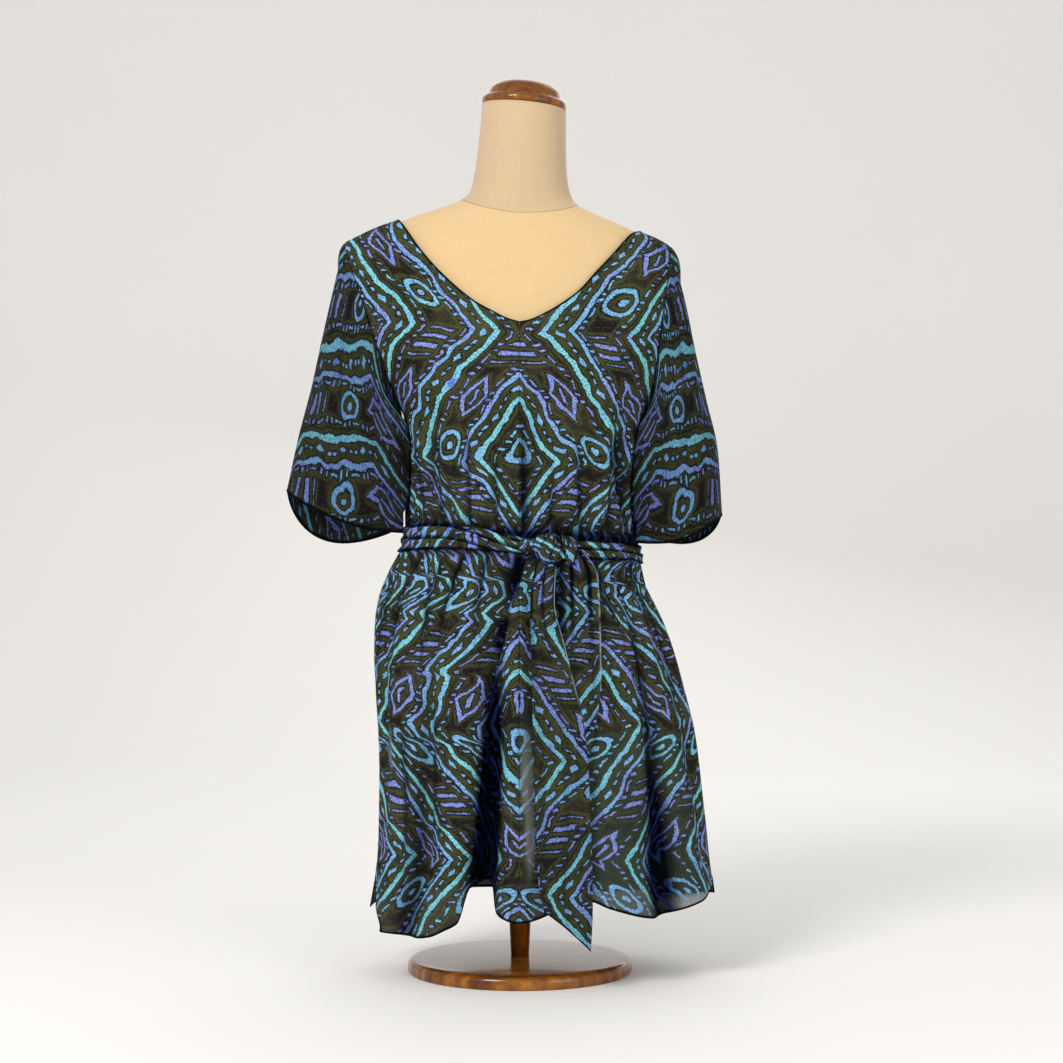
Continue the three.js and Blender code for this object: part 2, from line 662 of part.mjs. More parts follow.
const knotRings = steps(10)
  .slice(1, -1)
  .map((t) => {
    const rise = -Math.cos(Math.PI * t);
    return steps(24)
      .slice(0, -1)
      .map((u) => {
        const angle = 2 * Math.PI * u;
        const reach = Math.sqrt(1 - rise ** 2) * (1 + 0.05 * Math.cos(3 * angle));
        const x = KNOT.x + KNOT.halfX * reach * Math.cos(angle);
        return stand(x, KNOT.y + KNOT.halfY * reach * Math.sin(angle), KNOT.z + KNOT.halfZ * rise);
      });
  });
add("sash_knot", loft(knotRings), SILK);
add("sash_long_end", wall(weave(endRows(LONG_END, [98, 50], 13, 0)), SASH), SILK);
add("sash_short_end", wall(weave(endRows(SHORT_END, [296, 281], 8, 5)), SASH), SILK);

export default pieces;
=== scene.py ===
import bpy
import numpy as np
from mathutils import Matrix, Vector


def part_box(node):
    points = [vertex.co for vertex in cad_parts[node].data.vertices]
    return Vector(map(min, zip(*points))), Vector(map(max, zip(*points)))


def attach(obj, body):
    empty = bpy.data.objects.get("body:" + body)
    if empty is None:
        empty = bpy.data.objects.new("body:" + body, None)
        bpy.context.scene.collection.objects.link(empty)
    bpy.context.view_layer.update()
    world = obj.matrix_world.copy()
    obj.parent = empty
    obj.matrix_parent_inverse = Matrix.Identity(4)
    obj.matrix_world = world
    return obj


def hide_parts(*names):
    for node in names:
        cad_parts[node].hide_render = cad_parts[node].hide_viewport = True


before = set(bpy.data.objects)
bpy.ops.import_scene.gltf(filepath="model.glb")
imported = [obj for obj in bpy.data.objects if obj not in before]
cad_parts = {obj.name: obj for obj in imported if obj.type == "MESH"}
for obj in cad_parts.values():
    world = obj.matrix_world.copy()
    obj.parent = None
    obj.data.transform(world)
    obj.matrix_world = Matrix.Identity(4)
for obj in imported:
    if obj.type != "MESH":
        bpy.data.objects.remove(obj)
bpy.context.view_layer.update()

# Camera, light and floor
# The photo looks level at the middle of the garment from about 3 m. Its frame of 1063 pixels spans 1.25 mm
# a pixel at the form's middle plane. Soft light falls from the front and above on a pale sweep.
PIXEL = 1.25e-3
FRAME = 1063
AXIS_COLUMN, TABLE_ROW = 520, 970  # where the photo has the stand's axis and would have the table
EYE_DISTANCE = 3.0
camera = bpy.data.objects.new("camera", bpy.data.cameras.new("camera"))
bpy.context.scene.collection.objects.link(camera)
camera.location = ((FRAME / 2 - AXIS_COLUMN) * PIXEL, -EYE_DISTANCE, (TABLE_ROW - FRAME / 2) * PIXEL)
camera.rotation_euler = (np.pi / 2, 0, 0)
camera.data.sensor_width = 36
camera.data.lens = 36 * EYE_DISTANCE / (FRAME * PIXEL)
bpy.context.scene.camera = camera
bpy.context.scene.view_settings.view_transform = "Standard"

world = bpy.data.worlds.new("studio")
world.use_nodes = True
world.node_tree.nodes["Background"].inputs["Color"].default_value = (1, 0.985, 0.965, 1)
world.node_tree.nodes["Background"].inputs["Strength"].default_value = 0.58
bpy.context.scene.world = world

for name, place, size, power, colour in (
    ("key", (-1.5, -2.5, 2.5), 1.1, 74, (1, 0.965, 0.91)),
    ("fill", (2.2, -2.2, 1.2), 1.8, 20, (1, 0.96, 0.88)),
    ("rim", (0.6, 2.4, 2.2), 3.0, 22, (1, 1, 1)),
):
    lamp = bpy.data.lights.new(name, "AREA")
    lamp.energy, lamp.size, lamp.color = power, size, colour
    light = bpy.data.objects.new(name, lamp)
    bpy.context.scene.collection.objects.link(light)
    light.location = place
    aim = np.array([0, 0, 0.6]) - np.array(place)
    tilt, heading = np.arctan2(np.hypot(aim[0], aim[1]), -aim[2]), np.arctan2(aim[1], aim[0])
    light.rotation_euler = (tilt, 0, heading - np.pi / 2)


def grid_faces(rows, columns):
    """Faces of a grid of points, row by row: each joins a point to the next in its row and the two above."""
    corner = np.arange(rows - 1)[:, None] * columns + np.arange(columns - 1)
    return np.stack([corner, corner + 1, corner + columns + 1, corner + columns], -1).reshape(-1, 4)


def make_piece(name, points, faces, material, uv=None, values=None):
    """Object of the points, in millimetres, and their faces. Points in one place are merged, which closes
    seams and poles. "uv" is one pair for each point, in metres, and "values" names numbers on the points."""
    places, first, merged = np.unique(np.round(points, 3), axis=0, return_index=True, return_inverse=True)
    corners = merged.reshape(-1)[faces]
    ring = np.roll(corners, -1, 1)
    keep = (corners != ring).sum(1) >= 3
    corners, source, ring = corners[keep], faces[keep], ring[keep]
    kept = [row[row != after] for row, after in zip(corners, ring)] if (corners == ring).any() else corners
    mesh = bpy.data.meshes.new(name)
    mesh.from_pydata((places / 1000).tolist(), [], [row.tolist() for row in kept])
    if uv is not None:
        layer = mesh.uv_layers.new(name="cut")
        layer.data.foreach_set("uv", uv[source[corners != ring]].astype(np.float32).ravel())
    for label, numbers in (values or {}).items():
        stored = mesh.attributes.new(label, "FLOAT", "POINT")
        stored.data.foreach_set("value", numbers[first].astype(np.float32))
    mesh.shade_smooth()
    mesh.materials.append(material)
    piece = bpy.data.objects.new(name, mesh)
    bpy.context.scene.collection.objects.link(piece)
    return piece


class Tone:
    """A number in a material. +, -, * and / and the methods below add the Math node of that formula."""

    def __init__(self, tree, socket):
        self.tree, self.socket = tree, socket

    def math(self, operation, *terms):
        node = self.tree.nodes.new("ShaderNodeMath")
        node.operation = operation
        for place, term in zip(node.inputs, terms):
            if isinstance(term, Tone):
                self.tree.links.new(term.socket, place)
            else:
                place.default_value = term
        return Tone(self.tree, node.outputs[0])

    def __add__(self, other):
        return self.math("ADD", self, other)

    def __sub__(self, other):
        return self.math("SUBTRACT", self, other)

    def __rsub__(self, other):
        return self.math("SUBTRACT", other, self)

    def __mul__(self, other):
        return self.math("MULTIPLY", self, other)

    def __truediv__(self, other):
        return self.math("DIVIDE", self, other)

    __radd__, __rmul__ = __add__, __mul__

    def __abs__(self):
        return self.math("ABSOLUTE", self)

    def root(self):
        return self.math("SQRT", self)

    def clamp(self):
        return self.math("MINIMUM", self.math("MAXIMUM", self, 0), 1)

    def past(self, level, gain):
        """Share from 0 to 1 that grows by the gain above the level, or below it if the gain is negative."""
        return ((self - level) * gain).clamp()

    def least(self, other):
        return self.math("MINIMUM", self, other)

    def most(self, other):
        return self.math("MAXIMUM", self, other)

    def repeat(self, length):
        """The remainder after whole lengths, from 0 to the length."""
        return self.math("WRAP", self, length, 0)

    def bounce(self, length):
        """Up to the length and back again, over and over."""
        return self.math("PINGPONG", self, length)

    def below(self, other):
        return self.math("LESS_THAN", self, other)


class Finish:
    """A material being made, with one Principled shader."""

    def __init__(self, name):
        self.material = bpy.data.materials.new(name)
        self.material.use_nodes = True
        self.tree = self.material.node_tree
        self.shader = self.tree.nodes["Principled BSDF"]

    def node(self, kind, settings, sockets, output=0):
        """Any node: its settings first, then its sockets by name or number, each a value or a Tone."""
        node = self.tree.nodes.new("ShaderNode" + kind)
        stops = settings.pop("stops", None)
        for key, value in settings.items():
            setattr(node, key, value)
        for number, (place, colour) in enumerate(stops or ()):
            ramp = node.color_ramp.elements
            element = ramp[number] if number < 2 else ramp.new(place)
            element.position, element.color = place, (*colour, 1)
        for key, value in sockets.items():
            if isinstance(value, Tone):
                self.tree.links.new(value.socket, node.inputs[key])
            else:
                node.inputs[key].default_value = value
        return Tone(self.tree, node.outputs[output])

    def blend(self, share, low, high):
        """Colour from low to high by a share from 0 to 1."""
        low, high = ((*c, 1) if isinstance(c, tuple) else c for c in (low, high))
        return self.node("Mix", {"data_type": "RGBA"}, {0: share, 6: low, 7: high}, 2)

    def layers(self, colour, *coats):
        """Colour with coats laid over it one by one, each a share from 0 to 1 and its own colour."""
        for share, coat in coats:
            colour = self.blend(share, colour, coat)
        return colour

    def noise(self, place, scale, detail=3, roughness=0.5):
        sockets = {"Vector": place, "Scale": scale, "Detail": detail, "Roughness": roughness}
        return self.node("TexNoise", {}, sockets)

    def bump(self, height, distance, strength=1.0):
        sockets = {"Height": height, "Distance": distance, "Strength": strength}
        return self.node("Bump", {}, sockets)

    def surface(self, **sockets):
        """Puts values or Tones on the shader's sockets, with _ for a space, and gives the material."""
        for key, value in sockets.items():
            place = self.shader.inputs[key.replace("_", " ")]
            if isinstance(value, Tone):
                self.tree.links.new(value.socket, place)
            else:
                place.default_value = value
        return self.material


paper = Finish("studio_paper")
where = paper.node("TexCoord", {}, {}, 3)
paper_tone = paper.blend(paper.noise(where, 1.5), (0.90, 0.895, 0.885), (0.93, 0.925, 0.915))
pale = paper.surface(Base_Color=paper_tone, Roughness=0.9)
FLOOR_FRONT, FLOOR_BACK, BEND_RADIUS, WALL_TOP, HALF_WIDTH = -5000, 2500, 1200, 6000, 6000
across = np.linspace(-HALF_WIDTH, HALF_WIDTH, 2)
bend = np.linspace(0, np.pi / 2, 24)
bend_line = np.c_[FLOOR_BACK + BEND_RADIUS * np.sin(bend), BEND_RADIUS - BEND_RADIUS * np.cos(bend)]
sweep = np.concatenate([[[FLOOR_FRONT, 0]], bend_line, [[FLOOR_BACK + BEND_RADIUS, WALL_TOP]]])
sweep_points = np.stack(np.broadcast_arrays(across, sweep[:, :1], sweep[:, 1:]), -1).reshape(-1, 3)
backdrop = make_piece("backdrop", sweep_points, grid_faces(len(sweep), 2), pale)

# Stand: base and pole
# A turned round base with a pole up into the form, in golden brown varnished wood like the form's cap. The
# base is one disc with an eased edge, and the pole is glued into it.
BASE_RADIUS = (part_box("stand_base")[1][0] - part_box("stand_base")[0][0]) * 500
BASE_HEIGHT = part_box("stand_base")[1][2] * 1000
POLE_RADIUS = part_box("stand_pole")[1][0] * 1000
POLE_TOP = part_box("stand_pole")[1][2] * 1000
SEAM_GAP = 0.3  # between two pieces that stand together


def rounded(profile, steps):
    """Points along a profile of (radius, height) corners, closer where it turns: each corner is cut off twice
    at a quarter and three quarters of its sides, which rounds it."""
    line = np.array(profile, float)
    for _ in range(steps):
        early, late = 0.75 * line[:-1] + 0.25 * line[1:], 0.25 * line[:-1] + 0.75 * line[1:]
        line = np.concatenate([line[:1], np.stack([early, late], 1).reshape(-1, 2), line[-1:]])
    return line


def turned(line, sides):
    """Turned surface: each point of the line, a radius and a height, goes once round the Z axis."""
    turn = np.linspace(0, 2 * np.pi, sides + 1)
    radius, height = line[:, :1], line[:, 1:]
    x, y, z = np.broadcast_arrays(radius * np.cos(turn), radius * np.sin(turn), height)
    return np.stack([x, y, z], -1).reshape(-1, 3), grid_faces(len(line), sides + 1)


wood = Finish("varnished_wood")
where = wood.node("TexCoord", {}, {}, 3)
stretched = wood.node("Mapping", {}, {"Vector": where, "Scale": (14.0, 60.0, 14.0)})
grain = wood.noise(stretched, 1.6, 6, 0.62)
streak = wood.noise(stretched, 6.0, 3, 0.5)
tone = wood.node(
    "ValToRGB",
    {"stops": [(0.30, (0.06, 0.015, 0.002)), (0.52, (0.21, 0.068, 0.006)), (0.72, (0.42, 0.165, 0.015))]},
    {0: grain},
)
pores = (streak - 0.62).clamp() * 4
wood_finish = wood.surface(
    Base_Color=wood.blend(pores.clamp(), tone, (0.045, 0.013, 0.004)),
    Roughness=0.18 + grain * 0.14,
    Specular_IOR_Level=0.15,
    Coat_Weight=0.55,
    Coat_Roughness=0.08,
    Normal=wood.bump(grain + streak * 0.5, 0.0004, 0.35),
)
base_line = rounded(
    [
        (0, 0),
        (BASE_RADIUS - 2, 0),
        (BASE_RADIUS, 1),
        (BASE_RADIUS, BASE_HEIGHT * 0.55),
        (BASE_RADIUS - 4, BASE_HEIGHT * 0.8),
        (BASE_RADIUS - 14, BASE_HEIGHT * 0.86),
        (60, BASE_HEIGHT * 0.97),
        (0, BASE_HEIGHT),
    ],
    2,
)
base = make_piece("base", *turned(base_line, 128), wood_finish)
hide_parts("stand_base")
pole_foot = BASE_HEIGHT + SEAM_GAP
pole_line = [(0, pole_foot), (POLE_RADIUS, pole_foot), (POLE_RADIUS, POLE_TOP), (0, POLE_TOP)]
pole = make_piece("pole", *turned(rounded(pole_line, 1), 48), wood_finish)
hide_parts("stand_pole")
for piece in (base, pole):
    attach(piece, "root")

# Dress form
# A padded torso and neck without limbs, in cream linen jersey stretched smooth. The cover of the neck is sewn
# on round its foot, which leaves one fine seam that dips at the front.
def table(names, *rows):
    """A short table as a dictionary from each column's name to its numbers."""
    return dict(zip(names.split(), np.array(rows, float).T))


def curve(columns, key, name):
    """Smooth curve through one column by its key column. Between two rows it is the cubic that meets both
    with the harmonic mean of the slopes beside them, so it never goes beyond them."""
    t, v = columns[key], columns[name]
    rise = np.diff(v) / np.diff(t)
    before, after = rise[:-1], rise[1:]
    same = before * after > 0
    inside = np.where(same, 2 * before * after / np.where(same, before + after, 1), 0)
    slope = np.concatenate([rise[:1], inside, rise[-1:]])

    def at(x):
        i = np.clip(np.searchsorted(t, x, side="right") - 1, 0, len(t) - 2)
        span = t[i + 1] - t[i]
        s = np.clip((x - t[i]) / span, 0, 1)
        between = v[i] + s * s * (3 - 2 * s) * (v[i + 1] - v[i])
        return between + span * s * (1 - s) * ((1 - s) * slope[i] - s * slope[i + 1])

    return at


def sections(columns, key):
    """All columns of a table as one function from the key to a dictionary of arrays."""
    curves = {name: curve(columns, key, name) for name in columns if name != key}
    return lambda x: {name: each(x) for name, each in curves.items()}


def on_section(angle, row):
    """Points and outward directions on a rounded section: the sine and cosine of the angle, each to the
    power 2 / square, times half the width and the depth on that side."""
    s, c = np.sin(np.radians(angle)), np.cos(np.radians(angle))
    s, c = np.where(np.abs(s) < 1e-12, 0, s), np.where(np.abs(c) < 1e-12, 0, c)
    half = np.where(s < 0, row["left"], row["right"])
    depth = np.where(c > 0, row["front"], row["back"])
    power = 2 / row["square"]
    across, along = np.sign(s) * np.abs(s) ** power, -np.sign(c) * np.abs(c) ** power
    nx = np.sign(across) * np.abs(across) ** (row["square"] - 1) / half
    ny = np.sign(along) * np.abs(along) ** (row["square"] - 1) / depth
    size = np.hypot(nx, ny)
    return half * across, depth * along, nx / size, ny / size


FORM = table(
    "z half front back square shift",
    (304, 158, 96, 100, 2.4, 0),
    (311, 166, 104, 108, 2.4, 0),
    (345, 171, 110, 118, 2.3, 0),
    (400, 169, 108, 117, 2.3, 0),
    (450, 157, 103, 108, 2.2, 0),
    (500, 136, 97, 95, 2.2, 0),
    (537, 129, 94, 88, 2.2, 0),
    (580, 129, 97, 89, 2.2, 0),
    (640, 134, 105, 95, 2.2, 0),
    (700, 142, 117, 100, 2.2, 0),
    (737, 149, 121, 102, 2.3, 0),
    (780, 155, 114, 102, 2.3, 0),
    (820, 163, 103, 100, 2.4, 0),
    (860, 178, 92, 97, 2.4, 0),
    (885, 185, 84, 92, 2.4, 0),
    (896, 184, 80, 89, 2.4, 0),
    (905, 180, 76, 85, 2.4, 0),
    (914, 170, 72, 81, 2.4, 0),
    (921, 160, 69, 76, 2.4, 0),
    (928, 146, 66, 72, 2.3, 0),
    (936, 127, 63, 67, 2.3, 0),
    (944, 106, 60, 63, 2.2, 0),
    (952, 86, 58, 60, 2.1, 0),
    (960, 71, 56, 58, 2.0, 0),
    (968, 64, 55, 57, 2.0, 1),
    (980, 60, 55, 56, 2.0, 1),
    (1010, 56, 54, 54, 2.0, 2),
    (1050, 53.5, 53, 53, 2.0, 4),
    (1078, 52.5, 52, 52, 2.0, 5),
)
LEAN = table("z slope", (400, 0), (540, 0.05), (940, 0.05), (1078, 0.09))
lean_at = curve(LEAN, "z", "slope")


def stand(x, y, z):
    """Puts points into the form's lean: each drops by the slope at its height times how far right it is."""
    x, y, z = np.broadcast_arrays(x, y, z)
    return np.stack([x, y, z - lean_at(z) * x], -1)


def ease(t):
    """From 0 to 1 and level at both ends: 3 t squared less 2 t cubed."""
    t = np.clip(t, 0, 1)
    return t * t * (3 - 2 * t)


FORM["left"] = FORM["right"] = FORM.pop("half")
form_at = sections(FORM, "z")
FORM_FOOT, NECK_TOP = FORM["z"][[0, -1]]
foot_levels = np.linspace(FORM_FOOT, FORM_FOOT + 8, 8)
level = np.concatenate([foot_levels, np.linspace(FORM_FOOT + 12, NECK_TOP, 170)])[:, None]
angle = np.linspace(-180, 180, 193)
row = form_at(level)
x, y, nx, ny = on_section(angle, row)
SEAM_SIDE, SEAM_DIP, SEAM_DIP_BACK = 958, 19, 8
dip = np.where(np.abs(angle) < 90, SEAM_DIP, SEAM_DIP_BACK)
seam = SEAM_SIDE - dip * (1 - np.abs(np.sin(np.radians(angle))) ** 1.3)
seam_groove = np.exp(-(((level - seam) / 3.5) ** 2))
body = stand(x + row["shift"] - nx * seam_groove * 0.5, y - ny * seam_groove * 0.5, level)
foot = body[:1].copy()
foot[..., :2] = 0
top = np.broadcast_to(body[-1:].mean(1, keepdims=True), body[-1:].shape)
body = np.concatenate([foot, body, top])
FAR = 99.0  # distance given to what has no edge near it
far_row = np.full((1, angle.size), FAR)
seam_distance = np.concatenate([far_row, level - seam, far_row])
jersey = Finish("form_jersey")
where = jersey.node("TexCoord", {}, {}, 3)
cover = jersey.node("Attribute", {"attribute_name": "seam_mm"}, {}, 2)
soft = jersey.noise(where, 7, 2)
fine = jersey.noise(where, 900, 2)
threads = jersey.node("TexWave", {"bands_direction": "Z"}, {"Vector": where, "Scale": 260, "Distortion": 1.2})
ribs = jersey.node("TexWave", {"bands_direction": "X"}, {"Vector": where, "Scale": 260, "Distortion": 1.2})
knit = (threads + ribs) * 0.5
upright, level_ones = (
    jersey.noise(jersey.node("Mapping", {}, {"Vector": where, "Scale": scale}), 1, 3, 0.7)
    for scale in ((330.0, 330.0, 26.0), (26.0, 26.0, 330.0))
)
slubs = upright * 0.30 + level_ones * 0.24 - 0.15
skin = jersey.blend(soft, (0.70, 0.50, 0.25), (0.75, 0.545, 0.285))
on_neck = (cover / 2).clamp()
skin = jersey.blend(on_neck * 0.65, skin, (0.53, 0.41, 0.285))
slant = {"Vector": where, "Rotation": (0.0, 0.7, 0.0), "Scale": (52.0, 20.0, 9.0)}
slanted = jersey.node("Mapping", {}, slant)
creases = (1 - abs(jersey.noise(slanted, 1, 1) - 0.5) * 9).clamp() * on_neck
stitch = (1 - abs(cover) / 1.1).clamp()
jersey_finish = jersey.surface(
    Base_Color=jersey.blend(stitch * 0.8 + knit * 0.06 + slubs, skin, (0.36, 0.24, 0.13)),
    Roughness=0.78 + fine * 0.15,
    Sheen_Weight=0.25,
    Normal=jersey.bump(knit + fine * 0.6 + creases * 1.6, 0.0003, 0.4),
)
form = make_piece(
    "form",
    body.reshape(-1, 3),
    grid_faces(*body.shape[:2]),
    jersey_finish,
    values={"seam_mm": seam_distance.ravel()},
)
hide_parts("form_body")
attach(form, "root")

# Cap
# A turned lid of the same varnished wood closes the neck. It has a flared rim under a low dome and sits a
# little askew with the leaning form.
rim_line = [(0, 0), (50, 0), (53, 1.5), (53.5, 6.5), (50.5, 10.5), (46, 11.5)]
dome_line = [(45.2, 15), (42.5, 23), (31, 30.5), (14, 31.5), (0, 31.5)]
cap_points, cap_faces = turned(rounded(rim_line + dome_line, 3), 128)
tilt = np.arctan(lean_at(NECK_TOP))
shift = form_at(np.array([NECK_TOP]))["shift"][0]
x, y, z = cap_points.T
seat = NECK_TOP + SEAM_GAP - shift * np.tan(tilt)
right, up = x * np.cos(tilt) + z * np.sin(tilt), z * np.cos(tilt) - x * np.sin(tilt)
cap_points = np.stack([shift + right, y, seat + up], -1)
cap = make_piece("cap", cap_points, cap_faces, wood_finish)
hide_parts("form_cap")
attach(cap, "root")

# Fronts
# Two panels of one layer of sheer silk, cut alike and mirrored, joined down the centre and to the back at
# shoulders and sides. Neck and hem are rolled and stitched black. The sash gathers them at the waist.
CLOTH = table(
    "z left right front back square",
    (55, 192, 247, 151, 147, 2.2),
    (100, 183, 242, 150, 145, 2.2),
    (137, 177, 236, 149, 144, 2.2),
    (187, 174, 231, 147, 142, 2.2),
    (247, 173, 223, 144, 140, 2.2),
    (301, 175, 215, 141, 138, 2.2),
    (350, 179, 203, 139, 135, 2.2),
    (396, 181, 191, 136, 132, 2.2),
    (431, 180, 180, 132, 127, 2.2),
    (461, 175, 167, 127, 120, 2.2),
    (488, 164, 154, 119, 111, 2.2),
    (510, 152, 149, 111, 102, 2.2),
    (524, 144, 147, 106, 98, 2.2),
    (537, 142, 146, 105, 97, 2.2),
    (550, 142, 147, 107, 98, 2.2),
    (566, 142, 148, 114, 103, 2.2),
    (600, 140, 147, 119, 106, 2.2),
    (640, 140, 148, 122, 107, 2.2),
    (683, 144, 153, 125, 108, 2.3),
    (700, 153, 158, 126, 108, 2.3),
    (720, 166, 167, 126, 108, 2.3),
    (760, 190, 181, 124, 108, 2.4),
    (800, 210, 190, 115, 107, 2.4),
    (840, 222, 196, 102, 104, 2.4),
    (870, 226, 199, 92, 99, 2.4),
    (885, 224, 199, 88, 96, 2.4),
    (896, 218, 197, 84, 93, 2.4),
    (905, 203, 193, 80, 89, 2.4),
    (912, 190, 187, 77, 86, 2.4),
    (920, 173, 173, 73, 81, 2.4),
    (928, 152, 151, 70, 76, 2.4),
    (934, 137, 136, 68, 73, 2.4),
)
NECKLINE = table(
    "z left right",
    (800, 0, 0),
    (803, 13, 12),
    (811, 31, 28),
    (823, 54, 47),
    (843, 80, 72),
    (868, 106, 93),
    (892, 126, 114),
    (911, 139, 129),
    (921, 146, 138),
    (928, 152, 151),
)
ARMHOLE = {"left": (683, 896), "right": (700, 912)}
FRONT_HEM = table(
    "angle z",
    (-90, 68),
    (-62, 63),
    (-41, 60),
    (-31, 65),
    (-25, 74),
    (-21.5, 81),
    (-18.5, 122),
    (-14, 128),
    (-9.5, 121),
    (-7, 94),
    (-4, 88),
    (0, 84),
    (9, 96),
    (18, 108),
    (24, 99),
    (36, 86),
    (43, 82),
    (50, 86),
    (60, 97),
    (90, 116),
)
BACK_HEM = table("angle z", (90, 97), (130, 84), (165, 80), (215, 84), (270, 78))
# Height of each side slit's top, and how many degrees the front and the back draw away from it at its foot
SLIT = {"left": (146, 31, 3), "right": (128, 22, 3)}
SLIT_FOOT = 70
WAIST, SKIRT_LEVEL, V_POINT, BACK_NECK, NECK_SIDE = 537, 300, 800, 903, 928
SKIRT_FOLDS = table(
    "waist hem width depth",
    (-5, -14.5, 5.2, -58),
    (-14, -27, 9, 11),
    (-2, -3, 4.5, 9),
    (-38, -46, 8, -12),
    (-52, -62, 9, 6),
    (10, 13, 6, -13),
    (24, 31, 8, 8),
    (46, 47, 7, -24),
    (58, 62, 8, 7),
    (118, 116, 10, -16),
    (140, 140, 10, 9),
    (163, 161, 9, -15),
    (186, 188, 11, 9),
    (210, 214, 9, -17),
    (238, 240, 10, 8),
)
BODICE_FOLDS = table(
    "top low start end width depth",
    (720, 556, 0, 0, 7, -4),
    (735, 556, 48, 63, 8, -13),
    (725, 560, -42, -56, 8, -9),
    (700, 556, 20, 24, 7, 4),
    (700, 556, -21, -26, 7, 4),
    (800, 556, 205, 211, 11, 6),
    (800, 556, 155, 149, 11, 6),
)
# Creases between two places, each an angle and a height, with a width and a depth in millimetres
CREASES = table(
    "angle0 z0 angle1 z1 width depth",
    (-78, 705, -30, 640, 9, 3.2),
    (-80, 690, -36, 600, 8, 3.0),
    (-82, 672, -52, 570, 7, 2.6),
    (-70, 740, -24, 700, 10, 2.4),
    (-62, 640, -58, 560, 7, -3.4),
    (-34, 720, -30, 556, 10, -2.6),
    (-12, 760, -13, 556, 8, 2.6),
    (-6.5, 700, -6.5, 556, 4, -2.6),
    (6.5, 700, 6.5, 556, 4, -2.6),
    (12, 750, 14, 556, 9, 2.4),
    (34, 700, 33, 556, 8, -3.0),
    (42, 740, 44, 556, 9, 3.0),
    (78, 712, 34, 660, 9, 3.0),
    (80, 690, 52, 610, 8, 3.2),
    (70, 740, 28, 715, 10, 2.2),
    (72, 700, 72, 560, 6, -4.0),
    (-20, 505, -34, 330, 9, 4.0),
    (-28, 505, -40, 250, 8, -4.5),
    (-46, 500, -54, 300, 9, 3.6),
    (-60, 500, -70, 240, 9, -4.5),
    (-70, 480, -80, 120, 10, 4.0),
    (4, 505, 4, 260, 6, -4.0),
    (18, 500, 21, 150, 8, -4.0),
    (30, 500, 38, 260, 8, -4.0),
    (38, 480, 40, 140, 9, 5.0),
    (54, 490, 55, 300, 7, 5.0),
    (66, 490, 72, 120, 9, -5.0),
    (78, 470, 80, 200, 9, 4.0),
    (-33, 300, -36, 80, 7, -5.0),
    (-52, 260, -53, 75, 7, -5.0),
    (2, 300, 2, 90, 5, 4.0),
    (38, 250, 40, 95, 7, -5.0),
    (100, 500, 104, 150, 9, -5.0),
    (128, 500, 127, 200, 9, 4.5),
    (152, 500, 150, 120, 8, 4.5),
    (174, 500, 175, 160, 9, -4.5),
    (200, 500, 200, 110, 8, 4.5),
    (226, 500, 227, 180, 9, -5.0),
    (252, 500, 254, 110, 9, 4.5),
    (120, 740, 150, 600, 11, 3.0),
    (240, 740, 212, 600, 11, 3.0),
    (180, 760, 180, 560, 9, -2.6),
    (130, 690, 118, 560, 8, -3.0),
    (228, 690, 240, 560, 8, -3.0),
)
cloth_at = sections(CLOTH, "z")
neck_at = sections(NECKLINE, "z")
hem_at = {"front": curve(FRONT_HEM, "angle", "z"), "back": curve(BACK_HEM, "angle", "z")}


def turn(angle, centre):
    """Signed angle from the centre, the short way round."""
    return (angle - centre + 540) % 360 - 180


def folds_at(angle, z):
    """How far the folds push the cloth out. A skirt fold is a bell across its angle that grows down from the
    sash to the hem, a bodice fold is deepest halfway, and a crease is a bell across the line between its two
    places that fades at both. Gathers are three waves of unlike counts, strongest beside the sash."""
    out = np.zeros(np.broadcast(angle, z).shape)
    down = (WAIST - 25 - z) / (WAIST - 95)
    for waist, hem, width, depth in zip(*SKIRT_FOLDS.values()):
        centre = waist + (hem - waist) * np.clip(down, 0, 1)
        spread = width * (0.7 + 0.3 * np.clip(down, 0, 1))
        out += depth * ease(down) * np.exp(-((turn(angle, centre) / spread) ** 2))
    for high, low, start, end, width, depth in zip(*BODICE_FOLDS.values()):
        fall = np.clip((high - z) / (high - low), 0, 1)
        strength = np.sin(np.pi * fall**1.4)
        out += depth * strength * np.exp(-((turn(angle, start + (end - start) * fall) / width) ** 2))
    for angle0, z0, angle1, z1, width, depth in zip(*CREASES.values()):
        across, up = turn(angle, angle0) * 2.3, z - z0
        run = np.array([turn(angle1, angle0) * 2.3, z1 - z0])
        share = np.clip((across * run[0] + up * run[1]) / (run @ run), 0, 1)
        off = np.hypot(across - share * run[0], up - share * run[1])
        out += depth * np.sin(np.pi * share) ** 0.6 * np.exp(-((off / width) ** 2))
    a = np.radians(angle)
    waves = np.cos(19 * a + 0.7) + 0.8 * np.cos(31 * a + 2.1) + 0.5 * np.cos(47 * a + 0.3)
    above = np.exp(-(((z - WAIST - 30) / 26) ** 2)) + 0.5 * np.exp(-(((z - WAIST - 70) / 40) ** 2))
    below = np.exp(-(((z - WAIST + 32) / 30) ** 2)) + 0.6 * np.exp(-(((z - WAIST + 90) / 55) ** 2))
    out = out + 1.25 * waves * (above + below)
    under_sleeve = ease((z - 545) / 20) * ease((np.abs(turn(np.abs(turn(angle, 0)), 90)) - 46) / -14)
    return np.where(out > 0.8, out + (0.8 - out) * under_sleeve, out)


def cloth_point(angle, z, extra=0.0):
    """Point of the cloth at an angle and a height: its section's point, moved out by folds and "extra"."""
    x, y, nx, ny = on_section(angle, cloth_at(z))
    push = folds_at(angle, z) + extra
    return stand(x + nx * push, y + ny * push, z)


def angle_at(distance, half, square):
    """Angle from the front at which a section reaches a distance to one side."""
    return np.degrees(np.arcsin(np.clip(distance / half, 0, 1) ** (square / 2)))


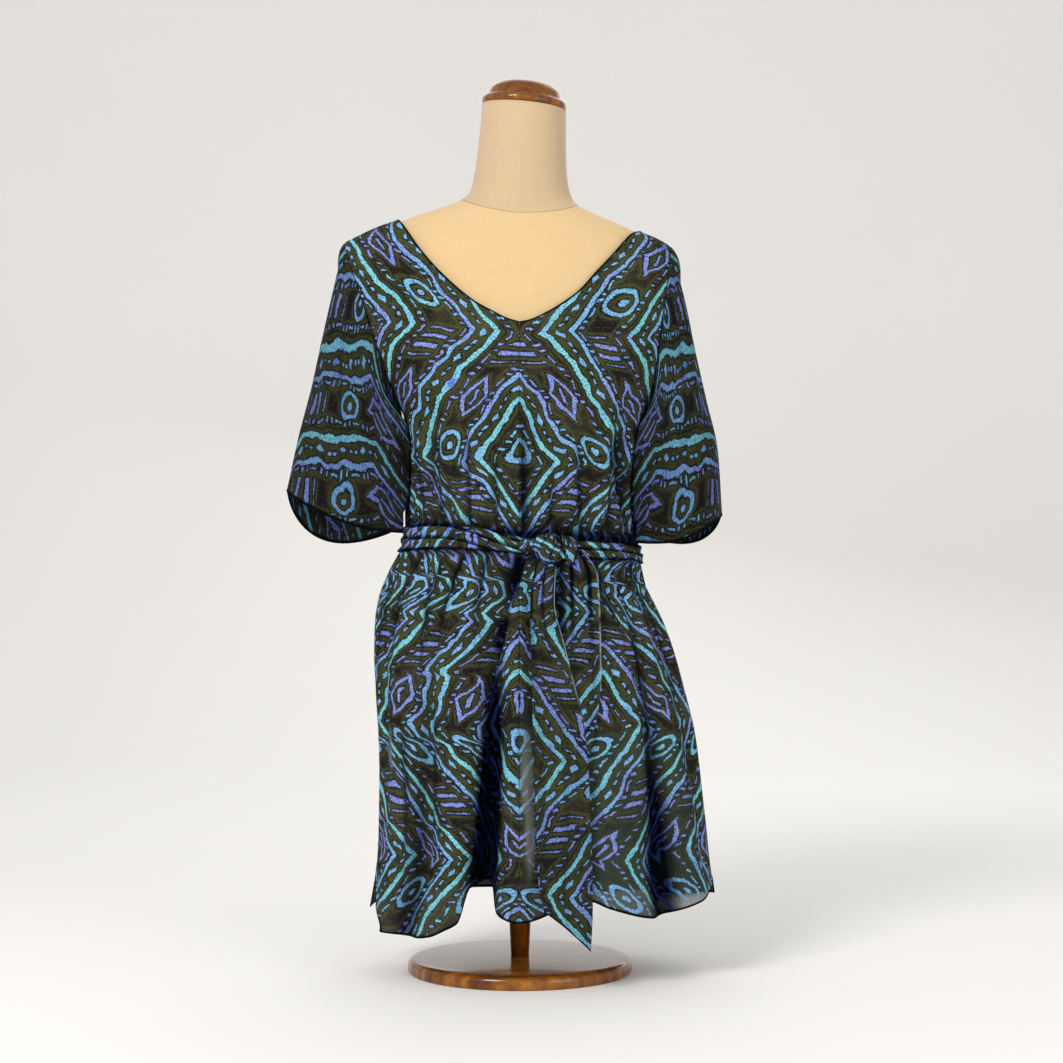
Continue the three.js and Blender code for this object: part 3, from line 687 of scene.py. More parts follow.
def walked(points, axis):
    """Length walked to each point of a grid, along its columns (axis 0) or its rows (axis 1), from 0."""
    steps = np.linalg.norm(np.diff(points, axis=axis), axis=2)
    return np.insert(np.cumsum(steps, axis), 0, 0, axis)


# Width of the cloth round the body from the front's centre, summed over small steps at many heights
CLOTH_LOW, CLOTH_HIGH = CLOTH["z"][[0, -1]]
LEVELS, STEPS_A_DEGREE = 200, 2
cut_angles = np.linspace(0, 180, 180 * STEPS_A_DEGREE + 1)
cut_levels = np.linspace(CLOTH_LOW, CLOTH_HIGH, LEVELS)[:, None]
gathered = 1 + 0.28 * np.exp(-(((cut_levels - WAIST) / 70) ** 2))
cut_width = {}
for side, sign in (("left", -1), ("right", 1)):
    cut_width[side] = walked(cloth_point(sign * cut_angles, cut_levels), 1) * gathered


def width_at(side, away, z):
    """Cut width from the front's centre to a place, between the nearest sums."""
    i = np.clip((z - CLOTH_LOW) / (CLOTH_HIGH - CLOTH_LOW) * (LEVELS - 1), 0, LEVELS - 1.001)
    j = np.clip(away * STEPS_A_DEGREE, 0, 180 * STEPS_A_DEGREE - 0.001)
    i0, j0 = i.astype(int), j.astype(int)
    fi, fj = i - i0, j - j0
    rows = cut_width[side]
    low = rows[i0, j0] * (1 - fj) + rows[i0, j0 + 1] * fj
    high = rows[i0 + 1, j0] * (1 - fj) + rows[i0 + 1, j0 + 1] * fj
    return low * (1 - fi) + high * fi


def half_panel(side, part, columns, counts):
    """Half of a front or the back as a grid of angles and heights. Its inner edge runs up the centre and then
    along the neckline, its outer edge up the side seam and the armhole, and each row goes straight across.
    "counts" has the rows of its five stretches, which end at the form's foot, below the sash, above it, where
    neckline and armhole start, and at the shoulder seam."""
    low, high = ARMHOLE[side]
    slit_top, *open_by = SLIT[side]
    back = part == "back"
    neck_low = BACK_NECK if back else V_POINT
    full_low, full_high = (cloth_at(np.array([z]))[side][0] for z in (low, high))

    def to_angle(away):
        sign = -1 if side == "left" else 1
        return (180 - sign * away) % 360 if back else sign * away

    edges = [], [], [], [], []

    def add(*values):
        """More rows: height and angle of the inner and the outer edge, and the share of the hem's curve."""
        for rows, value in zip(edges, np.broadcast_arrays(*values)):
            rows.append(np.atleast_1d(value))

    t = np.linspace(0, 1, counts[0], endpoint=False)
    hem_side = float(hem_at[part](to_angle(np.array(90.0))))
    level = hem_side + (SKIRT_LEVEL - hem_side) * t
    opened = ease((slit_top - level) / (slit_top - SLIT_FOOT)) * open_by[1 if back else 0]
    add(SKIRT_LEVEL, 0, SKIRT_LEVEL, 90 - opened, 1 - t)
    spans = [(SKIRT_LEVEL, SKIRT_LEVEL), (WAIST - 36, WAIST - 36), (WAIST + 24, WAIST + 24), (neck_low, low)]
    for (a, b), (c, d), count in zip(spans, spans[1:], counts[1:4]):
        t = np.linspace(0, 1, count, endpoint=False)
        add(a + (c - a) * t, 0, b + (d - b) * t, 90, 0)
    t = 1 - (1 - np.linspace(0, 1, counts[4])) ** 1.5
    zo = low + (high - low) * (1 - np.cos(np.pi * t)) / 2
    row = cloth_at(zo)
    edge = full_low + (full_high - full_low) * (zo - low) / (high - low)
    away_out = angle_at(edge, row[side], row["square"])
    zi = neck_low + (NECK_SIDE - neck_low) * (1 - (1 - t) ** 1.6 if back else t)
    row = cloth_at(zi)
    reach = row[side] * np.sin(np.pi / 2 * t) ** 0.9 if back else neck_at(zi)[side]
    away_in = np.where(t >= 1, 90, angle_at(reach, row[side], row["square"]))
    add(zi, away_in, zo, away_out, 0)
    inner_z, inner_away, outer_z, outer_away, drop = (np.concatenate(rows)[:, None] for rows in edges)
    away = inner_away + (outer_away - inner_away) * columns
    angle = to_angle(away)
    z = inner_z + (outer_z - inner_z) * columns
    z = z + drop * (hem_at[part](angle) - SKIRT_LEVEL)
    return angle, z, away


HEM_RADIUS, HEM_SIDES = 0.85, 8


def shell(name, grids, thickness, material, trim=lambda p: p, values=None, hems=()):
    """Thin closed shell on one or more grids of points that share edges. Each corner's direction is the mean
    of the faces round it, the outer face lies that way by the thickness, and free edges are closed. Each hem,
    a row of point numbers, gets a rolled edge: a closed tube round it, whose ends shrink to a point."""
    flat = [points.reshape(-1, 3) for points, _, _ in grids]
    starts = np.cumsum([0] + [len(f) for f in flat])
    faces = np.concatenate(
        [
            start + (grid_faces(*points.shape[:2])[:, ::-1] if flip else grid_faces(*points.shape[:2]))
            for start, (points, _, flip) in zip(starts, grids)
        ]
    )
    points = np.concatenate(flat)
    uv = np.concatenate([cut.reshape(-1, 2) for _, cut, _ in grids]) / 1000
    _, first, merged = np.unique(np.round(points, 2), axis=0, return_index=True, return_inverse=True)
    merged = merged.reshape(-1)
    shared = merged[faces]
    corner = points[first]
    a, b, c, d = (corner[shared[:, k]] for k in range(4))
    facing = np.cross(c - a, d - b)
    normals = np.zeros_like(corner)
    for k in range(4):
        np.add.at(normals, shared[:, k], facing)
    normals /= np.maximum(np.linalg.norm(normals, axis=1, keepdims=True), 1e-12)
    inner = trim(points.copy())
    outer = trim(points + normals[merged] * thickness)
    count = len(points)
    start, end = shared, np.roll(shared, -1, 1)
    key, back = start * count + end, end * count + start
    open_edge = ~np.isin(key, back)
    f, g = faces[open_edge], np.roll(faces, -1, 1)[open_edge]
    sides = np.stack([f, f + count, g + count, g], -1)
    places, cuts, every = [outer, inner], [uv, uv], [faces, faces[:, ::-1] + count, sides]
    numbers = {label: [v, v] for label, v in (values or {}).items()}
    ring = np.linspace(0, 2 * np.pi, HEM_SIDES + 1)[:, None]
    for path in hems:
        out = normals[merged[path]]
        line = points[path] + out * thickness / 2
        along = np.gradient(line, axis=0)
        along /= np.maximum(np.linalg.norm(along, axis=1, keepdims=True), 1e-9)
        beside = np.cross(along, out)
        round_line = out[:, None] * np.cos(ring) + beside[:, None] * np.sin(ring)
        tube = trim((line[:, None] + HEM_RADIUS * round_line).reshape(-1, 3)).reshape(len(path), len(ring), 3)
        first_end, last_end = (end[:, None].repeat(len(ring), 1) for end in (line[:1], line[-1:]))
        tube = np.concatenate([first_end, tube, last_end])
        every.append(grid_faces(len(tube), len(ring)) + sum(len(p) for p in places))
        places.append(tube.reshape(-1, 3))
        nearest = np.concatenate([path[:1], path, path[-1:]]).repeat(len(ring))
        cuts.append(uv[nearest])
        for label, v in (values or {}).items():
            numbers[label].append(v[nearest] * (label != "edge_mm"))
    numbers = {label: np.concatenate(v) for label, v in numbers.items()}
    points, faces, uv = (np.concatenate(parts) for parts in (places, every, cuts))
    return make_piece(name, points, faces, material, uv, numbers)


FACING = 31  # width of the facing inside the neck


def printed_silk(name, cover):
    """The printed cloth. Pairs of wavy zigzag stripes have small marks between them, and rings, lozenges and
    ladders in the wide gap, in aqua, blue and violet with olive rims on dark brown. Each figure is a distance
    that is negative inside it. U is the cut width from the centre seam, so the two fronts mirror each other.
    "cover" is how much one face of it hides. Lengths are in metres on the flat cloth."""
    silk = Finish(name)
    cut = silk.node("UVMap", {"uv_map": "cut"}, {})
    width = silk.node("SeparateXYZ", {}, {0: cut}, 0)
    length = silk.node("SeparateXYZ", {}, {0: cut}, 1)
    wander = silk.node("TexNoise", {}, {"Vector": cut, "Scale": 12.0, "Detail": 2.0}, 1)
    wobble = silk.noise(cut, 62, 2)
    ragged = silk.noise(cut, 330, 2, 0.6)
    u = abs(width) + (silk.node("SeparateXYZ", {}, {0: wander}, 0) - 0.5) * 0.034
    v = length + (silk.node("SeparateXYZ", {}, {0: wander}, 1) - 0.5) * 0.034
    stripe_gap, zigzag, row_gap = 0.104, 0.158, 0.060
    stripe = (u + v.bounce(zigzag) * 0.80 + (wobble - 0.5) * 0.009 + 1).repeat(stripe_gap)
    from_column = stripe - 0.0745
    from_middle = (v + 1).repeat(row_gap) - row_gap / 2
    turn_of_three = (v + 1).repeat(3 * row_gap)
    first = turn_of_three.below(row_gap)
    second = turn_of_three.below(2 * row_gap) - first
    a, b = abs(from_column), abs(from_middle)
    broad = abs(stripe - 0.012) - 0.0036
    narrow = abs(stripe - 0.042) - 0.0030
    reach = (from_column * from_column + from_middle * from_middle).root()
    ring = (abs(reach - 0.0150) - 0.0025).least(reach - 0.0042)
    lozenge = (abs(a + b * 0.72 - 0.0165) - 0.0027).least((a - 0.0020).most(b - 0.0080))
    rungs = abs((from_middle + 1).repeat(0.0125) - 0.00625) - 0.0023
    ladder = rungs.most(a - 0.0135).most(b - 0.0180)
    motif = ring * first + lozenge * second + ladder * (1 - first - second)
    beside, dash = abs(a - 0.0235), abs((v + 1).repeat(0.030) - 0.015)
    short_bars = (beside - 0.0030).most(abs(dash - 0.0110) - 0.0012)
    dashes = (beside - 0.0013).most(dash - 0.0048).least(short_bars)
    between, mark = abs(stripe - 0.027), abs((v + 1).repeat(0.034) - 0.017)
    twin_bars = (between - 0.0015).most(abs(mark - 0.0130) - 0.0020)
    marks = (between * 1.3 + mark - 0.0058).least(twin_bars)
    lines = broad.least(narrow)
    figures = motif.least(marks).least(dashes)
    nearest = lines.least(figures) + (ragged - 0.5) * 0.0040 + (wobble - 0.5) * 0.0028
    stroke = (0.5 - nearest / 0.0012).clamp()
    rim = (1 - abs(nearest - 0.0036) / 0.0030).clamp()
    outline = (1 - abs(nearest - 0.0008) / 0.0014).clamp()
    halo = (1 - nearest / 0.018).clamp()
    cloud = silk.noise(cut, 17, 4, 0.62)
    mottle = silk.noise(cut, 150, 4, 0.7)
    speckle = silk.noise(cut, 330, 3, 0.8)
    patch = silk.noise(cut, 19, 2)
    crackle = silk.noise(cut, 430, 2, 0.8)
    cloudy = cloud.past(0.47, 6)
    aqua, sky = (0.19, 0.60, 0.70), (0.19, 0.44, 0.78)
    periwinkle, royal = (0.22, 0.27, 0.72), (0.06, 0.13, 0.58)
    broad_ink = silk.blend(patch.past(0.49, 7) * 0.9, aqua, sky)
    narrow_ink = silk.blend(patch.past(0.44, 6), sky, periwinkle)
    motif_ink = silk.blend(first, periwinkle, silk.blend(patch.past(0.5, 6), sky, aqua))
    ink = silk.layers(
        silk.blend(
            figures.below(lines),
            silk.blend(narrow.below(broad), broad_ink, narrow_ink),
            silk.blend(marks.below(motif), motif_ink, sky),
        ),
        (patch.past(0.62, 10) * 0.85, royal),
        (mottle.past(0.5, -4) * 0.40, (0.035, 0.09, 0.16)),
        (crackle.past(0.50, 9) * 0.78, (0.02, 0.05, 0.10)),
        (crackle.past(0.45, -7) * 0.45, (0.55, 0.78, 0.84)),
    )
    edge, facing, shade, thin_and_backlit, glint = (
        silk.node("Attribute", {"attribute_name": label}, {}, 2)
        for label in ("edge_mm", "facing_mm", "shade", "thin_and_backlit", "glint")
    )
    ground = silk.layers(
        silk.blend(cloudy, (0.0165, 0.0115, 0.0105), (0.040, 0.033, 0.018)),
        (halo * (0.06 + cloudy * 0.60), (0.072, 0.068, 0.032)),
        (mottle.past(0.44, 4) * 0.60, (0.0065, 0.0060, 0.0068)),
        (speckle.past(0.52, 8) * 0.55, (0.042, 0.070, 0.085)),
        (speckle.past(0.47, -7) * 0.55, (0.003, 0.005, 0.009)),
        (rim * (mottle * 1.9 - 0.50).clamp(), (0.096, 0.116, 0.030)),
        (outline * 0.9, (0.0040, 0.0065, 0.0120)),
        # painted light: the thin places are lightened, as light coming through the silk
        ((thin_and_backlit * 2).clamp() * 0.8, (0.045, 0.066, 0.052)),
    )
    hem = (1.6 - edge / 1.9).clamp()
    slanted = silk.node("TexWave", {"bands_direction": "DIAGONAL"}, {"Vector": cut, "Scale": 160.0})
    facing_line = (1 - abs(facing - FACING) / 0.8).clamp() * (slanted - 0.3).clamp()
    facing_band = ((FACING - facing) / 1.2).clamp()
    # Painted shade: by the shade attribute the colour darkens to this near-black, and strokes to deep blue,
    # in folds, under and beside the sash, on the sleeves and in the knot.
    deep = silk.blend(stroke, (0.0008, 0.0010, 0.0022), (0.006, 0.014, 0.070))
    colour = silk.layers(
        silk.blend(stroke, ground, ink),
        # painted light: the thin places are paled further, as light coming through the silk
        (thin_and_backlit.past(0.5, 2) * (0.4 + speckle * 0.8), (0.21, 0.22, 0.20)),
        ((shade * 1.15).clamp(), deep),
        ((hem + facing_line * 0.85).clamp(), (0.003, 0.0028, 0.003)),
        ((glint * (wobble * 4 - 1.3).clamp()).clamp(), (0.34, 0.46, 0.47)),
    )
    weave_u = silk.node("TexWave", {"bands_direction": "X"}, {"Vector": cut, "Scale": 700.0})
    weave_v = silk.node("TexWave", {"bands_direction": "Y"}, {"Vector": cut, "Scale": 700.0})
    slub = silk.noise(silk.node("Mapping", {}, {"Vector": cut, "Scale": (40.0, 900.0, 1.0)}), 1, 3)
    hides = cover + stroke * 0.14 + halo * 0.04 + (slub - 0.5) * 0.12 + shade * 0.25 - thin_and_backlit * 0.34
    return silk.surface(
        Base_Color=colour,
        Roughness=0.58 + slub * 0.2,
        Specular_IOR_Level=0.02,
        Alpha=(hides + hem * 0.5 + facing_band * 0.14).clamp(),
        Normal=silk.bump(weave_u + weave_v + slub * 1.5, 0.0002, 0.3),
    )


silk_finish = printed_silk("printed_silk", 0.84)

SOLID_WALL = 1.2  # thickness of the cloth's solids
WALL = 0.45  # thickness of the shown cloth, in the middle of its solid's wall
MIDDLE = (SOLID_WALL - WALL) / 2
# Rows of a panel's five stretches, and its columns from the centre to the side
ROWS = (70, 46, 34, 46, 76)
front_columns = np.linspace(0, 1, 110) ** 1.15
back_columns = np.linspace(0, 1, 76)

# Places where one layer of the silk hangs alone before the light and looks thinner, each an angle and a
# height with its half width and half height. There it is more sheer, and its colour is painted lighter,
# as painted light coming through it.
THIN_AND_BACKLIT = table(
    "angle z width height",
    (1.8, 258, 2.0, 62),
    (2.4, 190, 1.6, 60),
    (-13.5, 168, 3.2, 62),
    (-62, 285, 3.0, 30),
    (64, 96, 24, 15),
    (-78, 76, 9, 12),
)

# Folds that close on themselves, from a place to a place. Each hides some millimetres of cloth, so the print
# breaks off at it, and lies in shade over its width on one side: left of it where the width is negative.
CLOSED = table(
    "angle0 z0 angle1 z1 width dark hides",
    (1.5, 514, -3.5, 440, -16, 1.0, 20),
    (-3.5, 440, -7.5, 372, -13, 1.0, 20),
    (-7.5, 372, -12.0, 290, -9, 0.95, 18),
    (-12.0, 290, -15.5, 190, 9, 0.95, 16),
    (-15.5, 190, -17.5, 120, 14, 0.85, 12),
    (-13, 514, -15, 410, -7, 0.75, 9),
    (-24, 514, -31, 400, -7, 0.80, 12),
    (-36, 514, -41, 330, 6, 0.65, 9),
    (-50, 514, -58, 360, -7, 0.70, 12),
    (-66, 514, -74, 330, 7, 0.70, 9),
    (-33, 330, -36, 90, -6, 0.55, 8),
    (-52, 300, -54, 66, 7, 0.60, 9),
    (24, 500, 25, 380, -9, 0.90, 12),
    (37, 514, 41, 400, -7, 0.80, 12),
    (46, 430, 48, 110, 8, 0.80, 14),
    (57, 514, 61, 390, 6, 0.70, 9),
    (66, 514, 73, 300, -7, 0.75, 12),
    (62, 320, 66, 110, -6, 0.50, 8),
    (0.8, 556, 0.3, 716, 9, 0.85, 0),
    (-9, 556, -10, 660, -5, 0.60, 6),
    (-22, 556, -23, 690, -7, 0.70, 9),
    (-36, 556, -45, 650, -6, 0.70, 8),
    (-54, 556, -68, 670, -6, 0.75, 9),
    (-72, 556, -82, 690, 7, 0.85, 9),
    (12, 556, 13, 640, 5, 0.65, 6),
    (27, 556, 24, 680, 7, 0.75, 9),
    (42, 556, 49, 660, 6, 0.70, 8),
    (58, 556, 68, 670, 6, 0.75, 9),
    (74, 556, 82, 700, -7, 0.85, 9),
    (104, 514, 106, 300, 8, 0.7, 12),
    (126, 514, 128, 200, -8, 0.6, 10),
    (150, 514, 150, 330, 8, 0.7, 12),
    (172, 514, 173, 160, -9, 0.7, 12),
    (196, 514, 199, 300, 8, 0.7, 12),
    (222, 514, 224, 170, -8, 0.6, 10),
    (248, 514, 252, 320, 8, 0.7, 12),
    (112, 556, 126, 690, 7, 0.7, 9),
    (138, 556, 142, 640, -6, 0.6, 8),
    (164, 556, 164, 700, 7, 0.7, 9),
    (190, 556, 190, 680, -7, 0.7, 9),
    (216, 556, 212, 650, 6, 0.6, 8),
    (244, 556, 232, 700, -7, 0.7, 9),
)


def closed_folds(angle, z, centre):
    """Shade and hidden cloth of the closed folds. Both are strongest at a fold's start and fade to its end.
    The shade is a bell across the fold, cut off short on its crisp side. The hidden cloth is a sum over the
    folds between the panel's centre and the place, each a step as wide as the crisp side."""
    shade, hidden = np.zeros(z.shape), np.zeros(z.shape)
    for angle0, z0, angle1, z1, width, dark, hides in zip(*CLOSED.values()):
        share = (z - z0) / (z1 - z0)
        line = angle0 + turn(angle1, angle0) * np.clip(share, 0, 1)
        strength = ease((share + 0.12) / 0.12) * ease((1.06 - share) / 0.7)
        off = turn(angle, line) * 2.5 * np.sign(width)
        across = np.where(off > 0, off / abs(width), off / 1.6)
        slit_line = np.exp(-(((off - 1.3) / 2.0) ** 2)) * np.sqrt(strength)
        shade = np.maximum(shade, dark * np.maximum(strength * np.exp(-(across**2)), slit_line))
        from_centre, fold = turn(angle, centre), turn(line, centre)
        beyond = (from_centre * np.sign(fold) - np.abs(fold)) * 2.5 - 1.3 * np.sign(width) * np.sign(fold)
        hidden += hides * strength * ease(beyond / 2.4 + 0.5)
    return shade, hidden


def soft_spots(angle, z):
    """How thin the silk looks: a soft-edged oval at each place of the table, at most 1, and a lighter field
    on the right below the form, where the light comes through both layers. There the silk is more sheer,
    and its colour is painted lighter, as painted light coming through."""
    total = np.zeros(np.broadcast(angle, z).shape)
    for at, level, width, height in zip(*THIN_AND_BACKLIT.values()):
        off = ((turn(angle, at) / width) ** 2 + ((z - level) / height) ** 2) ** 2
        total = np.maximum(total, np.exp(-off))
    across = ease((angle - 15) / 4) * ease((70 - angle) / 10)
    lit = across * ease((309 - z) / 5) * (0.55 + 0.45 * ease((230 - z) / 120))
    return np.maximum(total, 0.40 * lit)


def dress_panel(side, part, columns):
    """Points and cut places of half a front or back, with the distances to its hems and to the neck, the
    painted shade in its folds and along the sash, and its thin places, which are more sheer and painted
    lighter as light coming through."""
    angle, z, away = half_panel(side, part, columns, ROWS)
    points = cloth_point(angle, z, MIDDLE)
    closed, hidden = closed_folds(angle, z, 180 if part == "back" else 0)
    if part == "back":
        round_it = width_at(side, away * 0 + 180, z) - width_at(side, 180 - away, z) + hidden
    else:
        round_it = width_at(side, away, z) + hidden
    cut_place = np.stack([round_it * (-1 if side == "left" else 1), z], -1)
    from_hem = walked(points, 0)
    from_side = np.where(z < SLIT[side][0] + 4, walked(points[:, ::-1], 1)[:, ::-1], FAR)
    neck = points[-ROWS[4] :, 0]
    from_neck = np.full(z.shape, FAR)
    upper = z > V_POINT - 60
    from_neck[upper] = np.linalg.norm(points[upper][:, None] - neck[None], axis=2).min(1)
    push = folds_at(angle, z)
    # Painted shade in the folds' valleys, and a painted shadow along the sash above and below the band
    in_folds = np.clip((-4.0 - push) / 22, 0, 1) + np.clip((-1.2 - push) / 8, 0, 1) * 0.35
    sash_shadow = 0.9 * np.exp(-(((z - WAIST) / 21) ** 4))
    values = {
        "edge_mm": np.minimum(np.minimum(from_hem, from_side), from_neck * 1.3),
        "facing_mm": from_neck,
        "shade": np.clip(np.maximum(np.maximum(in_folds, closed), sash_shadow), 0, 1),
        "thin_and_backlit": soft_spots(angle, z) if part == "front" else np.zeros(z.shape),
    }
    numbers = np.arange(z.size).reshape(z.shape)
    slit = numbers[: int((z[:, -1] < SLIT[side][0] - 8).sum()), -1]
    return points, cut_place, values, [numbers[0], slit, numbers[-ROWS[4] :, 0]]


for side, limit in (("left", -SEAM_GAP / 2), ("right", SEAM_GAP / 2)):
    points, cut_place, values, hems = dress_panel(side, "front", front_columns)

    def trim(p, side=side, limit=limit):
        """Keeps the panel on its side of the centre seam and in front of the side seams."""
        p[:, 0] = np.minimum(p[:, 0], limit) if side == "left" else np.maximum(p[:, 0], limit)
        p[:, 1] = np.minimum(p[:, 1], -SEAM_GAP / 2)
        return p

    front = shell(
        "front_" + side + "_silk",
        [(points, cut_place, side == "left")],
        WALL,
        silk_finish,
        trim,
        {label: each.ravel() for label, each in values.items()},
        hems,
    )
    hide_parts("front_" + side)
    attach(front, "root")

# Back
# One panel of the same silk, as wide as both fronts, with a shallow scooped neck. It is sewn to the fronts at
# shoulders and sides, down to the slits, and hangs free below them.
right, left = dress_panel("right", "back", back_columns), dress_panel("left", "back", back_columns)


def behind(p):
    """Keeps the panel behind the side seams."""
    p[:, 1] = np.maximum(p[:, 1], SEAM_GAP / 2)
    return p


back = shell(
    "back_silk",
    [(right[0], right[1], True), (left[0], left[1], False)],
    WALL,
    silk_finish,
    behind,
    {label: np.concatenate([right[2][label].ravel(), left[2][label].ravel()]) for label in right[2]},
    right[3] + [hem + right[0].shape[0] * right[0].shape[1] for hem in left[3]],
)
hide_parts("back")
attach(back, "root")

# Sleeves
# A wide tube of one layer each, set into the dropped armhole with the print turned a quarter, so its stripes
# run round the arm. The open cuffs are rolled black and hang lower at the back than at the front.
SLEEVES = {
    "left": table(
        "step out_x out_z in_x in_z depth",
        (0, 218, 896, 144, 683, 64),
        (0.2, 233, 833, 148.5, 660, 68),
        (0.4, 246, 776, 146.5, 634, 69),
        (0.6, 260, 712, 145.5, 607, 67),
        (0.8, 275, 655, 147, 577, 62),
        (1, 290, 586, 150, 552, 56),
    ),
    "right": table(
        "step out_x out_z in_x in_z depth",
        (0, 187, 912, 158, 700, 64),
        (0.2, 205, 845, 157.5, 668, 69),
        (0.4, 218, 783, 154, 640, 73),
        (0.6, 232, 722, 153, 612, 75),
        (0.8, 246, 661, 154, 584, 75),
        (1, 251, 584, 154, 556, 73),
    ),
}
# How far each cuff hangs down, in front and behind
CUFF = {"left": (19, 46), "right": (20, 27)}
# The inner part of each sleeve's front falls in over the side of the body, round this turn
TUCK_TURN, TUCK_WIDTH, TUCK_DEPTH = 140, 22, 26
# Creases of a sleeve between two places, each a turn from its outer fold and a share of its length
SLEEVE_CREASES = table(
    "turn0 step0 turn1 step1 width depth",
    (20, 0.05, 60, 0.9, 9, 3.5),
    (45, 0.1, 95, 0.95, 9, -4.0),
    (75, 0.05, 120, 0.85, 8, 3.5),
    (110, 0.2, 140, 0.95, 8, -3.5),
    (100, 0.5, 60, 1.0, 7, 3.0),
    (240, 0.1, 300, 0.9, 10, -4.0),
    (270, 0.2, 330, 0.95, 9, 3.5),
    (215, 0.3, 250, 1.0, 8, 3.0),
    (30, 0.55, 80, 1.0, 7, -3.0),
)


def sleeve_points(side, steps, around):
    """Rings of a sleeve from armhole to cuff. Each goes from the outer to the inner edge and bulges by half
    the depth; near the armhole it takes the shape of the armhole's own curve, and it stays clear of the body.
    Also gives the shade in its creases."""
    sign = -1 if side == "left" else 1
    low, high = ARMHOLE[side]
    at = sections(SLEEVES[side], "step")
    c, s = np.cos(np.radians(around)), np.sin(np.radians(around))
    s = np.where(np.abs(s) < 1e-9, 0, s)
    share = (1 + c) / 2

    def free(step):
        row = at(step)
        hang = np.where(s > 0, CUFF[side][0] * (1 - 0.4 * c), CUFF[side][1] * (1 + 0.5 * c)) * np.abs(s)
        tuck = TUCK_DEPTH * np.exp(-(((around - TUCK_TURN) / TUCK_WIDTH) ** 2)) * ease((step - 0.04) / 0.3)
        x = row["in_x"] + (row["out_x"] - row["in_x"]) * share - tuck
        z = row["in_z"] + (row["out_z"] - row["in_z"]) * share - hang * ease((step - 0.5) / 0.5)
        return np.stack(np.broadcast_arrays(x, -row["depth"] * np.sign(s) * np.abs(s) ** 0.9, z), -1)

    z = low + (high - low) * share
    row = cloth_at(z)
    ends = cloth_at(np.array([low, high], float))[side]
    x = ends[0] + (ends[1] - ends[0]) * share
    away = angle_at(x, row[side], row["square"])
    on = on_section(np.where(s >= 0, sign * away, 180 - sign * away), row)
    sewn = np.stack([x, np.where(s == 0, 0, on[1]), z], -1)
    points = free(steps) + (sewn - free(np.zeros_like(steps))) * (1 - ease(steps / 0.5))[..., None]
    inside = (1 - c) / 2
    near = 1.1 + 3.4 * inside**2
    far = 1.1 + 2.9 * ease(inside * 1.5)
    clear = near + (far - near) * ease(steps / 0.15) + 6 * ease((576 - points[..., 2]) / 14)
    row = cloth_at(points[..., 2])
    depth = np.where(points[..., 1] < 0, row["front"], row["back"])
    deep = np.clip(np.abs(points[..., 1]) / depth, 0, 1) ** row["square"]
    reach = row[side] * (1 - deep) ** (1 / row["square"])
    points[..., 0] = np.maximum(points[..., 0] + 0.6, reach + clear)
    push = np.zeros(points.shape[:2])
    for turn0, step0, turn1, step1, width, depth in zip(*SLEEVE_CREASES.values()):
        over, along = turn(around, turn0) * 1.2, (steps - step0) * 320
        run = np.array([(turn1 - turn0) * 1.2, (step1 - step0) * 320])
        part = np.clip((over * run[0] + along * run[1]) / (run @ run), 0, 1)
        off = np.hypot(over - part * run[0], along - part * run[1])
        push += depth * np.sin(np.pi * part) ** 0.6 * np.exp(-((off / width) ** 2))
    push *= ease(steps / 0.12) * np.clip(1.4 * share, 0, 1)
    points[..., 0] += push * 0.5 * c
    points[..., 1] -= push * s
    return stand(sign * points[..., 0], points[..., 1], points[..., 2]), np.clip((-0.8 - push) / 5, 0, 0.75)


def under_fold(steps, around):
    """Shade of a sleeve: a little all over, more where its inner part falls in beside the body, growing to
    the cuff, and three soft bands that fan out from the armpit."""
    body = 0.41 + 0.55 * np.exp(-(((around - 172) / 40) ** 2)) * ease(steps / 0.4)
    fan = np.zeros(np.broadcast(steps, around).shape)
    grown = 0.5 * np.sin(np.pi * np.clip(steps * 1.05, 0, 1))
    for start, end, width in ((150, 118, 10), (125, 84, 9), (100, 48, 8)):
        centre = start + (end - start) * steps
        fan = np.maximum(fan, grown * np.exp(-(((around - centre) / width) ** 2)))
    return np.maximum(body, fan)


SLEEVE_STEPS, SLEEVE_ROUND = 120, 181
steps = np.linspace(0, 1, SLEEVE_STEPS)[:, None]
around = np.linspace(0, 360, SLEEVE_ROUND)
for side in ("left", "right"):
    points, shade = sleeve_points(side, steps, around)
    points[:, -1] = points[:, 0]
    along, across = walked(points, 0), walked(points, 1)
    cut_place = np.stack([along.mean(1, keepdims=True) * 0.5 + along * 0.5 + 20, across], -1)
    sleeve = shell(
        "sleeve_" + side + "_silk",
        [(points, cut_place, side == "left")],
        WALL,
        silk_finish,
        values={
            "edge_mm": (along[-1] - along).ravel() * 0.6,
            "facing_mm": np.full(along.size, FAR),
            "shade": np.clip(np.maximum(shade, under_fold(steps, around)), 0, 1).ravel(),
            "thin_and_backlit": np.zeros(along.size),
        },
        hems=[np.arange(along.size)[-SLEEVE_ROUND:]],
    )
    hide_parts("sleeve_" + side)
    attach(sleeve, "root")

# Sash
# A long tube of the same silk, pressed flat and folded to a band round the waist. It is knotted right of the
# centre, and its two ends hang down over the skirt with slanted points.
sash_finish = printed_silk("sash_silk", 0.93)
